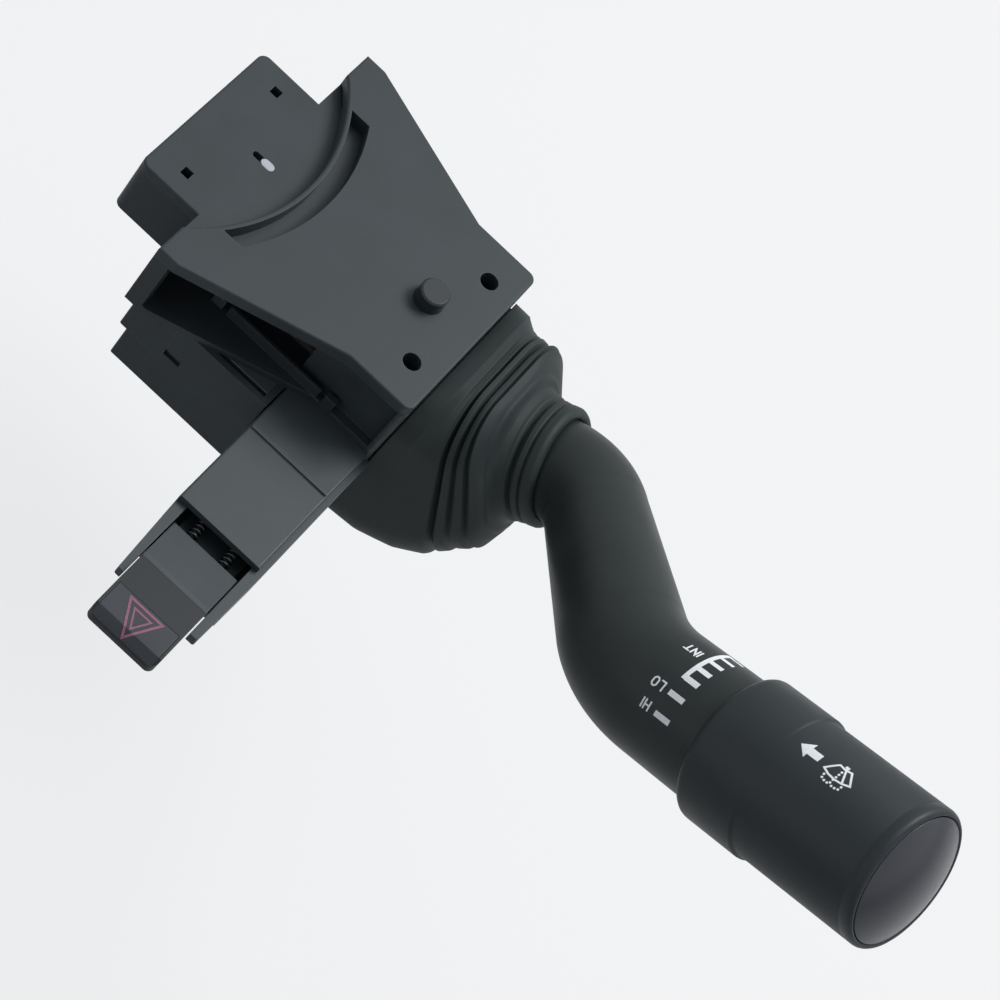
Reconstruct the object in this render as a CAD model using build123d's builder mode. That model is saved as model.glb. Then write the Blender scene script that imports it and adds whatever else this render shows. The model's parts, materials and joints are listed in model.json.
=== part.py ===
from build123d import *
import os
from math import cos, radians, sin

# A steering column combination switch, in millimetres. The origin is midway between the two
# mounting screw holes, on top of the cover plate. +X runs from the steering column out to the
# lever, -Y is the way the hazard button's arm points and +Z is towards the driver.

os.makedirs("parts", exist_ok=True)

# Clearances
run_gap = 0.05        # round a pin that turns in a bore
slide_gap = 0.3       # round a part that slides, and between soft and hard parts
seat_gap = 0.1        # round a part that drops into a seat
swing_gap = 0.7       # beside a part that swings

# Cover plate and the trapezoid housing under it
screw_spacing = 29.4
screw_hole = 4.2
boss_wall = 2.1
plate_thick = 3.0
front_x = 6.9
front_half = 24.4
taper_x = -9.8
shoulder_x = -46.6
rear_x = -51.6
rear_half = 37.3
corner_round = 2.0
edge_round = 0.5
upper_depth = 20.3
floor_thick = 1.8
wall = 2.0
jamb_length = 3.9
jamb_depth = 4.0

# The arc cut that clears the steering column's hub, and the slot beside it
column_x = -83.3
arc_radius = 43.2
arc_rib = 1.1
slot_width = 4.3
slot_half = 23.1
recess_drop = 4.0
recess_thick = 1.5

# Block on the column side
block_length = 15.9
block_half = 21.6
block_depth = 20.6
block_cap_thick = 2.5
block_wall = 1.8
key_hole = 2.2
key_hole_x = -59.5
key_hole_y = 15.8
sight_x = -51.0
sight_length = 5.0
sight_width = 1.6

# Turn pivot pin and the carrier on it
pivot_x = -6.3
pivot_dia = 6.7
pivot_stand = 3.8
pivot_round = 0.4
hub_radius = 6.0
cheek_thick = 3.5
cheek_reach = 5.5
cheek_low = -40.0
arm_low = -13.5
arm_thick = 3.0
arm_radius = 33.0
arm_half = 9.0

# Lower housings
lower_x = -48.1
lower_inset = 4.1
lower_half = rear_half - lower_inset
lower_bottom = -44.0
lower_wall = 1.6
split_x = -15.6
bearing_bottom = -52.0
bearing_seat = 1.5
end_cover_x = -50.0
end_cover_inner_x = -39.1
end_cover_seam = -34.0
end_cover_inner_y = -14.0
latch_x = -36.8
latch_z = -30.5
latch_length = 4.2
latch_height = 2.0
deck_margin = 1.0
hook_inset = 0.8
hook_length = 2.8
hook_thick = 1.5
hook_rise = 2.9
rear_hook_x = -37.4
front_hook_x = -6.8
inner_wall_x = -16.0

# Lever, which is bent in one plane that holds the neck's axis and the Y axis
neck_x = 37.4
neck_z = -10.9
neck_tilt = 31.9
first_bend_at = 7.05
first_bend = 50.6
first_bend_radius = 22.0
middle_length = 53.8
second_bend = -34.8
second_bend_radius = 30.0
outer_length = 28.2
stalk_start = -12.0
stalk_root_radius = 10.9
stalk_neck_radius = 11.0
stalk_bend_radius = 13.15
stalk_outer_radius = 13.6
stalk_end_radius = 13.8
stalk_wall = 2.2
root_pin_x = 6.0
root_pin_dia = 4.0
root_eye = 5.5
root_width = 13.4
root_height = 10.0
root_spigot = 8.0

# Wiper knob, measured along its own axis from the end of the lever
collar_start = 0.3
collar_flare = 1.1
collar_end = 15.3
collar_radius = 16.05
knob_wide = 16.0
knob_radius = 15.4
knob_oval_turn = 19.5
knob_end = 45.4
knob_wall = 1.5
knob_round = 1.2
spindle_radius = 8.0
spindle_bore = 6.0
spindle_end = 30.0
button_radius = 14.0
button_dome = 3.0
button_edge = 2.6
button_travel = 3.0
stem_radius = 2.5

# Rubber boot round the lever's neck
boot_x = 7.2
boot_wall = 1.7
boot_z = -27.8
boot_half_width = 22.8
boot_half_height = 25.6
boot_corner = 9.0
frame_thick = 1.5
frame_bar = 3.0

# Hazard arm and its button
arm_left = -15.2
arm_right = 7.7
arm_rail = 2.6
deck_end_y = -63.1
rail_end_y = -84.2
rail_taper = 1.2
rail_end_deep = 2.6
trough_end_y = -74.0
ridge_y = -39.0
ridge_high = 0.5
channel_bottom = -30.3
rail_top = -22.0
button_width = 17.0
button_rear_y = -67.1
cap_rear_y = -78.8
cap_ridge_y = -87.2
cap_round_y = -93.8
cap_end_y = -96.2
cap_top = -20.4
cap_drop = 0.8
cap_thick = 5.2
cap_wall = 1.3
lens_near_y = -87.4
lens_far_y = -95.6
lens_width = 15.6
lens_thick = 1.9
stem_end_y = -40.0
stem_thick = 1.6
hazard_travel = 4.5
hazard_spring_x = 4.2
hazard_spring_wire = 0.5
hazard_spring_radius = 1.1

# Worked out from the sizes above
upper_bottom = -upper_depth
arm_root_y = -front_half
hook_y = front_half - hook_inset
inner_wall_y = hook_y - hook_thick - floor_thick
deck_half = lower_half - lower_wall - deck_margin
floor_top = upper_bottom + floor_thick
slot_inner = arc_radius + arc_rib
slot_outer = slot_inner + slot_width
recess_radius = slot_outer + arc_rib
block_end_x = rear_x - block_length
recess_z = -recess_drop
neck_cos = cos(radians(neck_tilt))
neck_sin = sin(radians(neck_tilt))
root_pin_z = neck_z - (neck_x - root_pin_x) * neck_sin / neck_cos
root_along = -(neck_x - root_pin_x) / neck_cos
cheek_inner = root_width / 2 + slide_gap
button_x = (arm_left + arm_right) / 2
screw_places = [(0, -screw_spacing / 2), (0, screw_spacing / 2)]
housing_outline = [
    (front_x, -front_half),
    (front_x, front_half),
    (taper_x, front_half),
    (shoulder_x, rear_half),
    (rear_x, rear_half),
    (rear_x, -rear_half),
    (shoulder_x, -rear_half),
    (taper_x, -front_half),
]
pin_plane = Plane.XY.offset(0)
on_floor = (Align.CENTER, Align.CENTER, Align.MIN)


def block(x_low, x_high, y_low, y_high, z_low, z_high, mode=Mode.ADD):
    """A rectangular solid between two corners."""
    middle = ((x_low + x_high) / 2, (y_low + y_high) / 2, z_low)
    with Locations(middle):
        Box(x_high - x_low, y_high - y_low, z_high - z_low, align=on_floor, mode=mode)


def post(x, y, z_low, z_high, radius, mode=Mode.ADD):
    """An upright round solid."""
    with Locations((x, y, z_low)):
        Cylinder(radius, z_high - z_low, align=on_floor, mode=mode)


def stage(plane, start, end, radius, end_radius=None, mode=Mode.ADD):
    """One round stage of a turned piece, from start to end along the plane's normal."""
    with Locations(plane.offset(start)):
        if end_radius is None:
            Cylinder(radius, end - start, align=on_floor, mode=mode)
        else:
            Cone(radius, end_radius, end - start, align=on_floor, mode=mode)


# Cover plate: the trapezoid top with the arc edge and its slot
with BuildPart() as cover_plate:
    with BuildSketch():
        Polygon(*housing_outline, align=None)
        fillet(vertices().group_by(Axis.X)[-1], corner_round)
        with Locations((column_x, 0)):
            Circle(arc_radius, mode=Mode.SUBTRACT)
    extrude(amount=-plate_thick)
    fillet(faces().sort_by(Axis.Z)[-1].outer_wire().edges(), edge_round)
    with BuildSketch(Plane.XY.offset(-plate_thick)):
        with Locations((column_x, 0)):
            Circle(recess_radius)
            Circle(arc_radius, mode=Mode.SUBTRACT)
        with Locations((column_x + slot_inner, 0)):
            Rectangle(4 * slot_width, 2 * (slot_half + arc_rib), mode=Mode.INTERSECT)
    extrude(amount=-(recess_drop - plate_thick))
    with BuildSketch():
        with Locations((column_x, 0)):
            Circle(slot_outer)
            Circle(slot_inner, mode=Mode.SUBTRACT)
        with Locations((column_x + slot_inner, 0)):
            Rectangle(4 * slot_width, 2 * slot_half, mode=Mode.INTERSECT)
    extrude(amount=-recess_drop, mode=Mode.SUBTRACT)
    with Locations((pivot_x, 0)):
        Hole(pivot_dia / 2 + run_gap)
    with Locations(*screw_places):
        Hole(screw_hole / 2)

cover_plate.part.label = "cover_plate"
export_step(cover_plate.part, "parts/cover_plate.step")

# Main shell: floor, rear walls with their jambs, front wall and the screw bosses
with BuildPart() as main_shell:
    with BuildSketch(Plane.XY.offset(upper_bottom)):
        Polygon(*housing_outline, align=None)
        fillet(vertices().group_by(Axis.X)[-1], corner_round)
    extrude(amount=floor_thick)
    for side in (-1, 1):
        wall_in, wall_out = sorted((side * (block_half + seat_gap), side * rear_half))
        block(rear_x, rear_x + wall, wall_in, wall_out, floor_top, recess_z - recess_thick)
        jamb_in, jamb_out = sorted((side * (rear_half - jamb_depth), side * rear_half))
        block(rear_x, rear_x + jamb_length, jamb_in, jamb_out, floor_top, -plate_thick)
        lip_in, lip_out = sorted((side * (rear_half - 2 * jamb_depth + seat_gap), side * rear_half))
        block(rear_x, rear_x + wall, lip_in, lip_out, floor_top, -plate_thick)
        rib_in, rib_out = sorted((side * hook_y, side * (hook_y + hook_thick / 2)))
        block(
            rear_hook_x + hook_length,
            front_hook_x - hook_length,
            rib_in,
            rib_out,
            floor_top,
            floor_top + hook_rise,
        )
        inner_near, inner_far = sorted((side * inner_wall_y, side * (inner_wall_y + floor_thick)))
        block(inner_wall_x, front_x - floor_thick, inner_near, inner_far, floor_top, -plate_thick)
        with Locations((rear_hook_x, side * hook_y), (front_hook_x, side * hook_y)):
            Box(
                hook_length + 2 * seat_gap,
                hook_thick + 2 * seat_gap,
                4 * upper_depth,
                mode=Mode.SUBTRACT,
            )
    block(front_x - floor_thick, front_x, -front_half, front_half, floor_top, -plate_thick)
    fillet(
        edges().filter_by(Axis.Z).group_by(Axis.X)[-1].group_by(SortBy.LENGTH)[-1],
        corner_round - edge_round,
    )
    for x, y in screw_places:
        post(x, y, floor_top, -plate_thick, screw_hole / 2 + boss_wall)
    with Locations(*screw_places):
        Hole(screw_hole / 2)
    with Locations((pivot_x, 0)):
        Hole(hub_radius + swing_gap)
    block(
        rear_x, lower_x - seat_gap, -block_half, block_half, upper_bottom, floor_top, Mode.SUBTRACT
    )

main_shell.part.label = "main_shell"
export_step(main_shell.part, "parts/main_shell.step")

# Cap of the column block, with the recess floor that runs in under the arc slot
with BuildPart() as block_cap:
    with BuildSketch(Plane.XY.offset(recess_z)):
        with Locations(((block_end_x + rear_x) / 2, 0)):
            Rectangle(block_length, 2 * block_half)
        fillet(vertices().group_by(Axis.X)[0], corner_round)
    extrude(amount=-block_cap_thick)
    with BuildSketch(Plane.XY.offset(recess_z)):
        with Locations((column_x, 0)):
            Circle(recess_radius)
        with Locations((rear_x + block_length, 0)):
            Rectangle(
                2 * block_length,
                2 * (rear_half - 2 * jamb_depth),
                mode=Mode.INTERSECT,
            )
    extrude(amount=-recess_thick)
    fillet(
        faces().sort_by(Axis.Z)[-1].edges().filter_by(Axis.Y).group_by(Axis.X)[0], edge_round
    )
    with Locations((key_hole_x, -key_hole_y), (key_hole_x, key_hole_y)):
        Box(key_hole, key_hole, 4 * block_depth, mode=Mode.SUBTRACT)
    with BuildSketch(Plane.XY):
        with Locations((sight_x, 0)):
            SlotOverall(sight_length, sight_width)
    extrude(amount=-block_depth / 2, mode=Mode.SUBTRACT)

block_cap.part.label = "block_cap"
export_step(block_cap.part, "parts/block_cap.step")

# Body of the column block, a hollow box with two stiffening ribs
block_body_top = recess_z - block_cap_thick
with BuildPart() as column_block:
    with BuildSketch(Plane.XY.offset(-block_depth)):
        with Locations(((block_end_x + rear_x) / 2, 0)):
            Rectangle(block_length, 2 * block_half)
        fillet(vertices().group_by(Axis.X)[0], corner_round)
    extrude(amount=block_depth + block_body_top)
    block(
        block_end_x + block_wall,
        rear_x + 1,
        -block_half + block_wall,
        block_half - block_wall,
        -block_depth + block_wall,
        0,
        Mode.SUBTRACT,
    )
    for y in (-block_half / 2, block_half / 2):
        block(
            block_end_x + block_wall,
            rear_x - block_wall,
            y - block_wall / 2,
            y + block_wall / 2,
            -block_depth + block_wall,
            block_body_top,
        )

column_block.part.label = "column_block"
export_step(column_block.part, "parts/column_block.step")

# Lower housing: the connector box, open above and below, with the notch for its end cover
with BuildPart() as lower_housing:
    block(lower_x, split_x, -lower_half, lower_half, lower_bottom, upper_bottom)
    fillet(edges().filter_by(Axis.Z).group_by(Axis.X)[0], edge_round)
    block(
        lower_x + lower_wall,
        split_x - lower_wall,
        -lower_half + lower_wall,
        lower_half - lower_wall,
        lower_bottom - 1,
        upper_bottom + 1,
        Mode.SUBTRACT,
    )
    block(
        lower_x - 1,
        end_cover_inner_x,
        -lower_half - 1,
        end_cover_inner_y,
        end_cover_seam,
        upper_bottom + 1,
        Mode.SUBTRACT,
    )
    block(
        latch_x - latch_length / 2,
        latch_x + latch_length / 2,
        -lower_half - 1,
        -lower_half + 2 * lower_wall,
        latch_z - latch_height / 2,
        latch_z + latch_height / 2,
        Mode.SUBTRACT,
    )
    boss_radius = 3.0
    boss_inset = lower_wall + 0.7 * boss_radius
    boss_x = [lower_x + boss_inset, split_x - boss_inset]
    boss_y = lower_half - boss_inset
    boss_top = end_cover_seam - 1
    boss_low = lower_bottom + lower_wall + seat_gap
    case_screw_radius = 1.4
    for x in boss_x:
        for y in (-boss_y, boss_y):
            post(x, y, boss_low, boss_top, boss_radius)
            post(x, y, boss_low - 1, boss_top - 1, case_screw_radius + run_gap, Mode.SUBTRACT)

lower_housing.part.label = "lower_housing"
export_step(lower_housing.part, "parts/lower_housing.step")

# End cover clipped over the wire outlet of the lower housing
latch_bar_thick = 1.0
with BuildPart() as end_cover:
    block(end_cover_x, end_cover_inner_x, -lower_half, end_cover_inner_y, end_cover_seam, upper_bottom)
    fillet(edges().filter_by(Axis.Z).group_by(Axis.X)[0], edge_round)
    block(
        end_cover_x + lower_wall,
        end_cover_inner_x + 1,
        -lower_half + lower_wall,
        end_cover_inner_y + 1,
        end_cover_seam - 1,
        upper_bottom - lower_wall,
        Mode.SUBTRACT,
    )
    block(
        end_cover_inner_x - 2 * lower_wall,
        latch_x + latch_length / 2 - seat_gap,
        -lower_half + lower_wall + seat_gap,
        -lower_half + lower_wall + seat_gap + latch_bar_thick,
        latch_z - latch_height / 2 + seat_gap,
        latch_z + latch_height / 2 - seat_gap,
    )
    block(
        end_cover_inner_x - 2 * lower_wall,
        end_cover_inner_x - lower_wall,
        -lower_half,
        -lower_half + lower_wall + seat_gap + latch_bar_thick,
        latch_z - latch_height / 2 + seat_gap,
        latch_z + latch_height / 2 - seat_gap,
    )
    block(
        latch_x - latch_length / 2 + seat_gap,
        latch_x + latch_length / 2 - seat_gap,
        -lower_half + lower_wall / 2,
        -lower_half + lower_wall + seat_gap + latch_bar_thick,
        latch_z - latch_height / 2 + seat_gap,
        latch_z + latch_height / 2 - seat_gap,
    )

end_cover.part.label = "end_cover"
export_step(end_cover.part, "parts/end_cover.step")

# Contact deck: the lid of the lower housing, with two hooks that snap through the floor above
with BuildPart() as contact_deck:
    block(
        end_cover_inner_x + 0.5 * seat_gap,
        split_x - lower_wall - seat_gap,
        -deck_half,
        deck_half,
        upper_bottom - floor_thick,
        upper_bottom,
    )
    for side in (-1, 1):
        with Locations((rear_hook_x, side * hook_y, upper_bottom)):
            Box(hook_length, hook_thick, floor_thick + hook_rise, align=on_floor)

contact_deck.part.label = "contact_deck"
export_step(contact_deck.part, "parts/contact_deck.step")

# Connector sizes are used by the bottom cover, the two connectors and their blades
socket_wall = 1.4
socket_width = 9.8
socket_depth = 10.0
connector_bottom = -56.0
connector_base_top = -39.0
main_socket_length = 33.0
aux_socket_length = 21.0
main_connector_x = -38.6
aux_connector_x = -24.6
connector_y = 3.0
blade_thick = 0.8
blade_width = 2.8
blade_pitch = 5.0
blade_inset = 1.6
blade_tip = connector_bottom + 2.0
board_thick = 1.6
board_low = connector_base_top


def blade_row(x, length, mode=Mode.ADD):
    """One row of contact blades near one wall of a socket."""
    row_x = x - socket_width / 2 + blade_inset
    count = int(length // blade_pitch)
    for place in range(count):
        y = connector_y + (place - (count - 1) / 2) * blade_pitch
        with Locations((row_x, y, blade_tip)):
            Box(blade_thick, blade_width, connector_base_top - blade_tip, align=on_floor, mode=mode)


def connector(x, length):
    """A socket that opens downwards, on a solid base that holds its blades."""
    half_x = socket_width / 2 + socket_wall
    half_y = length / 2 + socket_wall
    low, high = connector_y - half_y, connector_y + half_y
    block(x - half_x, x + half_x, low, high, connector_bottom, connector_base_top)
    block(
        x - socket_width / 2,
        x + socket_width / 2,
        connector_y - length / 2,
        connector_y + length / 2,
        connector_bottom - 1,
        connector_bottom + socket_depth,
        Mode.SUBTRACT,
    )
    fillet(edges().filter_by(Axis.Z).group_by(SortBy.LENGTH)[-1], edge_round)
    blade_row(x, length, Mode.SUBTRACT)


# Bottom cover of the lower housing, with a cut-out for each connector
with BuildPart() as lower_cover:
    block(
        lower_x + lower_wall + seat_gap,
        split_x - lower_wall - seat_gap,
        -lower_half + lower_wall + seat_gap,
        lower_half - lower_wall - seat_gap,
        lower_bottom,
        lower_bottom + lower_wall,
    )
    for x, length in (
        (main_connector_x, main_socket_length),
        (aux_connector_x, aux_socket_length),
    ):
        with Locations((x, connector_y)):
            Box(
                socket_width + 2 * socket_wall + 2 * seat_gap,
                length + 2 * socket_wall + 2 * seat_gap,
                4 * block_depth * 2,
                mode=Mode.SUBTRACT,
            )
    with Locations(*[(x, y) for x in boss_x for y in (-boss_y, boss_y)]):
        Hole(case_screw_radius + seat_gap)

lower_cover.part.label = "lower_cover"
export_step(lower_cover.part, "parts/lower_cover.step")

# Four case screws, which hold the bottom cover to the housing
case_screw_head = 2.6
case_screw_head_height = 1.4
case_screw_length = 7.0
with BuildPart() as case_screws:
    for x in boss_x:
        for y in (-boss_y, boss_y):
            post(x, y, lower_bottom - case_screw_head_height, lower_bottom, case_screw_head)
            post(x, y, lower_bottom, lower_bottom + case_screw_length, case_screw_radius)
    fillet(edges().group_by(Axis.Z)[0], edge_round)

case_screws.part.label = "case_screws"
export_step(case_screws.part, "parts/case_screws.step")

with BuildPart() as connector_main:
    connector(main_connector_x, main_socket_length)

connector_main.part.label = "connector_main"
export_step(connector_main.part, "parts/connector_main.step")

with BuildPart() as connector_aux:
    connector(aux_connector_x, aux_socket_length)

connector_aux.part.label = "connector_aux"
export_step(connector_aux.part, "parts/connector_aux.step")

with BuildPart() as blades_main:
    blade_row(main_connector_x, main_socket_length)

blades_main.part.label = "blades_main"
export_step(blades_main.part, "parts/blades_main.step")

with BuildPart() as blades_aux:
    blade_row(aux_connector_x, aux_socket_length)

blades_aux.part.label = "blades_aux"
export_step(blades_aux.part, "parts/blades_aux.step")

# Terminal board, which the blades are joined to
with BuildPart() as terminal_board:
    block(
        lower_x + lower_wall + seat_gap,
        split_x - lower_wall - seat_gap,
        -lower_half + lower_wall + seat_gap,
        lower_half - lower_wall - seat_gap,
        board_low,
        board_low + board_thick,
    )
    for x in boss_x:
        for y in (-boss_y, boss_y):
            corner_x = x - boss_radius - 1 if x < (lower_x + split_x) / 2 else x - boss_radius - seat_gap
            corner_y = y - boss_radius - 1 if y < 0 else y - boss_radius - seat_gap
            reach = 2 * boss_radius + 1 + seat_gap
            block(
                corner_x,
                corner_x + reach,
                corner_y,
                corner_y + reach,
                board_low - 1,
                board_low + board_thick + 1,
                Mode.SUBTRACT,
            )

terminal_board.part.label = "terminal_board"
export_step(terminal_board.part, "parts/terminal_board.step")

# Front housing: the deeper box that the lever's carrier swings in
pin_bottom = bearing_bottom + bearing_seat / 2 + 0.45
bearing_top = bearing_bottom + wall + bearing_seat
with BuildPart() as front_housing:
    block(split_x, front_x, -front_half, front_half, bearing_bottom, upper_bottom)
    fillet(edges().filter_by(Axis.Z).group_by(Axis.X)[-1], corner_round)
    fillet(faces().sort_by(Axis.Z)[0].edges(), edge_round)
    block(
        split_x + wall,
        front_x + 1,
        -front_half + wall + frame_bar,
        front_half - wall - frame_bar,
        bearing_bottom + wall,
        upper_bottom + 1,
        Mode.SUBTRACT,
    )
    block(
        split_x + wall,
        front_x - wall,
        -front_half + wall,
        front_half - wall,
        bearing_bottom + wall,
        upper_bottom + 1,
        Mode.SUBTRACT,
    )
    post(pivot_x, 0, bearing_bottom + wall, bearing_top, hub_radius)
    post(pivot_x, 0, pin_bottom - seat_gap, bearing_top + 1, pivot_dia / 2 + run_gap, Mode.SUBTRACT)
    for side in (-1, 1):
        with Locations((front_hook_x, side * hook_y, upper_bottom - wall)):
            Box(hook_length, hook_thick, wall + floor_thick + hook_rise, align=on_floor)

front_housing.part.label = "front_housing"
export_step(front_housing.part, "parts/front_housing.step")

# Frame that the boot's base is stretched over
frame_half_width = boot_half_width - boot_wall - slide_gap
frame_half_height = boot_half_height - boot_wall - slide_gap
with BuildPart() as boot_frame:
    with BuildSketch(Plane(origin=(front_x, 0, boot_z), x_dir=(0, 1, 0), z_dir=(1, 0, 0))):
        RectangleRounded(2 * frame_half_width, 2 * frame_half_height, boot_corner - boot_wall)
        RectangleRounded(
            2 * (frame_half_width - frame_bar),
            2 * (frame_half_height - frame_bar),
            boot_corner - frame_bar,
            mode=Mode.SUBTRACT,
        )
    extrude(amount=frame_thick)

boot_frame.part.label = "boot_frame"
export_step(boot_frame.part, "parts/boot_frame.step")

# The boot's rings. A base ring is its centre's x and z, its tilt, half width, half height and
# corner radius. A neck ring is its place along the neck's axis, its tilt, its lift off that axis,
# half width, half height and corner radius. The first groove's ring ends one and starts the other.
base_rings = [
    (boot_x, boot_z, 0, boot_half_width, boot_half_height, boot_corner),
    (boot_x + 6.0, boot_z, 4.5, 21.8, 26.8, 9.5),
    (boot_x + 11.1, boot_z + 1.8, 13.0, 21.0, 26.3, 12.0),
    (boot_x + 14.7, boot_z + 4.4, 20.0, 20.3, 25.0, 13.5),
]
first_groove = (-17.9, 21.4, -1.8, 19.5, 24.0, 13.0)
pleat_rings = [
    first_groove,
    (-17.1, 22.3, -1.7, 20.0, 24.1, 13.4),
    (-15.4, 24.0, -1.3, 19.9, 23.0, 12.9),
    (-14.5, 24.8, -1.0, 19.3, 22.0, 12.2),
    (-13.7, 25.8, -0.9, 19.7, 22.0, 12.6),
    (-12.2, 27.8, -0.5, 19.4, 21.2, 13.4),
    (-11.3, 29.0, -0.2, 18.7, 20.2, 14.0),
    (-10.5, 29.5, 0.0, 19.0, 20.2, 14.0),
    (-9.3, 30.0, 0.2, 17.7, 19.2, 13.0),
    (-8.3, 30.4, 0.4, 16.0, 18.0, 12.3),
    (-6.9, neck_tilt, 0.1, 14.3, 14.8, 14.0),
]
round_rings = [
    (-5.7, 13.9),
    (-4.7, 12.9),
    (-3.9, 13.45),
    (-2.9, 13.2),
    (-2.35, 12.6),
    (-1.7, 13.1),
    (0.7, 12.95),
]
neck_rings = pleat_rings + [
    (along, neck_tilt, 0, radius, radius, radius - 0.1) for along, radius in round_rings
]
neck_bore = stalk_neck_radius + swing_gap


def ring_plane(x, z, tilt):
    """A plane across the boot, leaning back by tilt degrees, with its own x along Y."""
    return Plane(origin=(x, 0, z), x_dir=(0, 1, 0), z_dir=(cos(radians(tilt)), 0, sin(radians(tilt))))


def neck_plane(along, tilt, lift):
    """A plane across the boot's neck, from its place along the axis, its tilt and its lift."""
    x = neck_x + along * neck_cos - lift * sin(radians(tilt))
    z = neck_z + along * neck_sin + lift * cos(radians(tilt))
    return ring_plane(x, z, tilt)


base_stack = [(ring_plane(x, z, tilt), wide, high, corner) for x, z, tilt, wide, high, corner in base_rings]
base_stack.append((neck_plane(*first_groove[:3]), *first_groove[3:]))
neck_stack = [(neck_plane(*ring[:3]), *ring[3:]) for ring in neck_rings]

# Boot base: the wide rubber shoulder between the housing's front and the first groove
with BuildPart() as boot_base:
    for plane, half_width, half_height, corner in base_stack:
        with BuildSketch(plane):
            RectangleRounded(2 * half_width, 2 * half_height, corner)
    loft(ruled=True)
    for plane, half_width, half_height, corner in base_stack:
        with BuildSketch(plane):
            RectangleRounded(
                2 * (half_width - boot_wall), 2 * (half_height - boot_wall), corner - boot_wall
            )
    loft(ruled=True, mode=Mode.SUBTRACT)

boot_base.part.label = "boot_base"
export_step(boot_base.part, "parts/boot_base.step")

# Boot neck: the pleats and the round neck that grips the lever
with BuildPart() as boot_neck:
    for plane, half_width, half_height, corner in neck_stack:
        with BuildSketch(plane):
            RectangleRounded(2 * half_width, 2 * half_height, corner)
    loft(ruled=True)
    for plane, half_width, half_height, corner in neck_stack[:len(pleat_rings) - 1]:
        with BuildSketch(plane):
            RectangleRounded(
                2 * (half_width - boot_wall), 2 * (half_height - boot_wall), corner - boot_wall
            )
    for along, tilt, lift in (neck_rings[len(pleat_rings) - 1][:3], neck_rings[-1][:3]):
        with BuildSketch(neck_plane(along, tilt, 0)):
            RectangleRounded(2 * neck_bore, 2 * neck_bore, neck_bore - 0.1)
    loft(ruled=True, mode=Mode.SUBTRACT)

boot_neck.part.label = "boot_neck"
export_step(boot_neck.part, "parts/boot_neck.step")

# Pivot pin, which stands out of the cover plate
with BuildPart() as pivot_pin:
    post(pivot_x, 0, pin_bottom, pivot_stand, pivot_dia / 2)
    chamfer(edges().group_by(Axis.Z)[-1], pivot_round)
    chamfer(edges().group_by(Axis.Z)[0], edge_round)

pivot_pin.part.label = "pivot_pin"
export_step(pivot_pin.part, "parts/pivot_pin.step")

# Turn carrier: the hub on the pivot pin and the two cheeks that hold the lever's root
hub_bottom = bearing_top + slide_gap
cheek_high = upper_bottom - 1.0
cheek_end = root_pin_x + cheek_reach
with BuildPart() as turn_carrier:
    post(pivot_x, 0, hub_bottom, arm_low + arm_thick, hub_radius)
    for side in (-1, 1):
        near, far = sorted((side * cheek_inner, side * (cheek_inner + cheek_thick)))
        block(pivot_x - hub_radius / 2, cheek_end, near, far, cheek_low, cheek_high)
    web = cheek_inner + cheek_thick
    block(pivot_x - hub_radius / 2, pivot_x + hub_radius / 2, -web, web, cheek_high - wall, cheek_high)
    block(pivot_x - hub_radius / 2, cheek_end, -web, web, cheek_low - wall, cheek_low)
    post(pivot_x, 0, hub_bottom - 1, arm_low + arm_thick + 1, pivot_dia / 2, Mode.SUBTRACT)
    with Locations(Plane.XZ.offset(-web - 1)):
        with Locations((root_pin_x, root_pin_z)):
            Cylinder(
                root_pin_dia / 2,
                2 * web + 2,
                align=(Align.CENTER, Align.CENTER, Align.MIN),
                mode=Mode.SUBTRACT,
            )

turn_carrier.part.label = "turn_carrier"
export_step(turn_carrier.part, "parts/turn_carrier.step")

# Swing arm over the contact board, with three detent notches in its tail
notch_angle = 12.0
notch_depth = 1.4
post_x = -27.0
board_top = floor_top + 1.4
pad_thick = 0.3
bridge_low = board_top + pad_thick + slide_gap
bridge_thick = 0.4
with BuildPart() as swing_arm:
    with BuildSketch(Plane.XY.offset(arm_low)):
        with Locations((pivot_x, 0)):
            Circle(arm_radius)
        with BuildLine():
            Polyline(
                (pivot_x, -hub_radius - wall),
                (pivot_x, hub_radius + wall),
                (pivot_x - arm_radius - 1, arm_half),
                (pivot_x - arm_radius - 1, -arm_half),
                close=True,
            )
        make_face(mode=Mode.INTERSECT)
        with Locations((pivot_x, 0)):
            Circle(hub_radius + wall)
            Circle(hub_radius + 0.5 * run_gap, mode=Mode.SUBTRACT)
        for turn in (-notch_angle, 0, notch_angle):
            angle = radians(180 + turn)
            tip = (pivot_x + arm_radius * cos(angle), arm_radius * sin(angle))
            with Locations(Location(tip, turn + 45)):
                Rectangle(2 * notch_depth, 2 * notch_depth, mode=Mode.SUBTRACT)
    extrude(amount=arm_thick)
    post(post_x, 0, bridge_low + bridge_thick, arm_low, 3.0)

swing_arm.part.label = "swing_arm"
export_step(swing_arm.part, "parts/swing_arm.step")

# Contact bridge under the swing arm
with BuildPart() as bridge_contact:
    block(post_x - 7, post_x + 7, -2.5, 2.5, bridge_low, bridge_low + bridge_thick)
    fillet(edges().filter_by(Axis.Z), 1.0)

bridge_contact.part.label = "bridge_contact"
export_step(bridge_contact.part, "parts/bridge_contact.step")

# Contact board on the floor, and the copper pads of left, off and right
board_half = 17.0
board_rear_x = pivot_x - arm_radius + 0.9
with BuildPart() as contact_board:
    block(board_rear_x, -15.5, -board_half, board_half, floor_top, board_top)

contact_board.part.label = "contact_board"
export_step(contact_board.part, "parts/contact_board.step")

with BuildPart() as turn_contacts:
    for turn in (-2 * notch_angle, -notch_angle, 0, notch_angle, 2 * notch_angle):
        angle = radians(180 + turn)
        for reach in (15.5, 25.5):
            x = pivot_x + reach * cos(angle)
            post(x, reach * sin(angle), board_top, board_top + pad_thick, 1.2)

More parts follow.
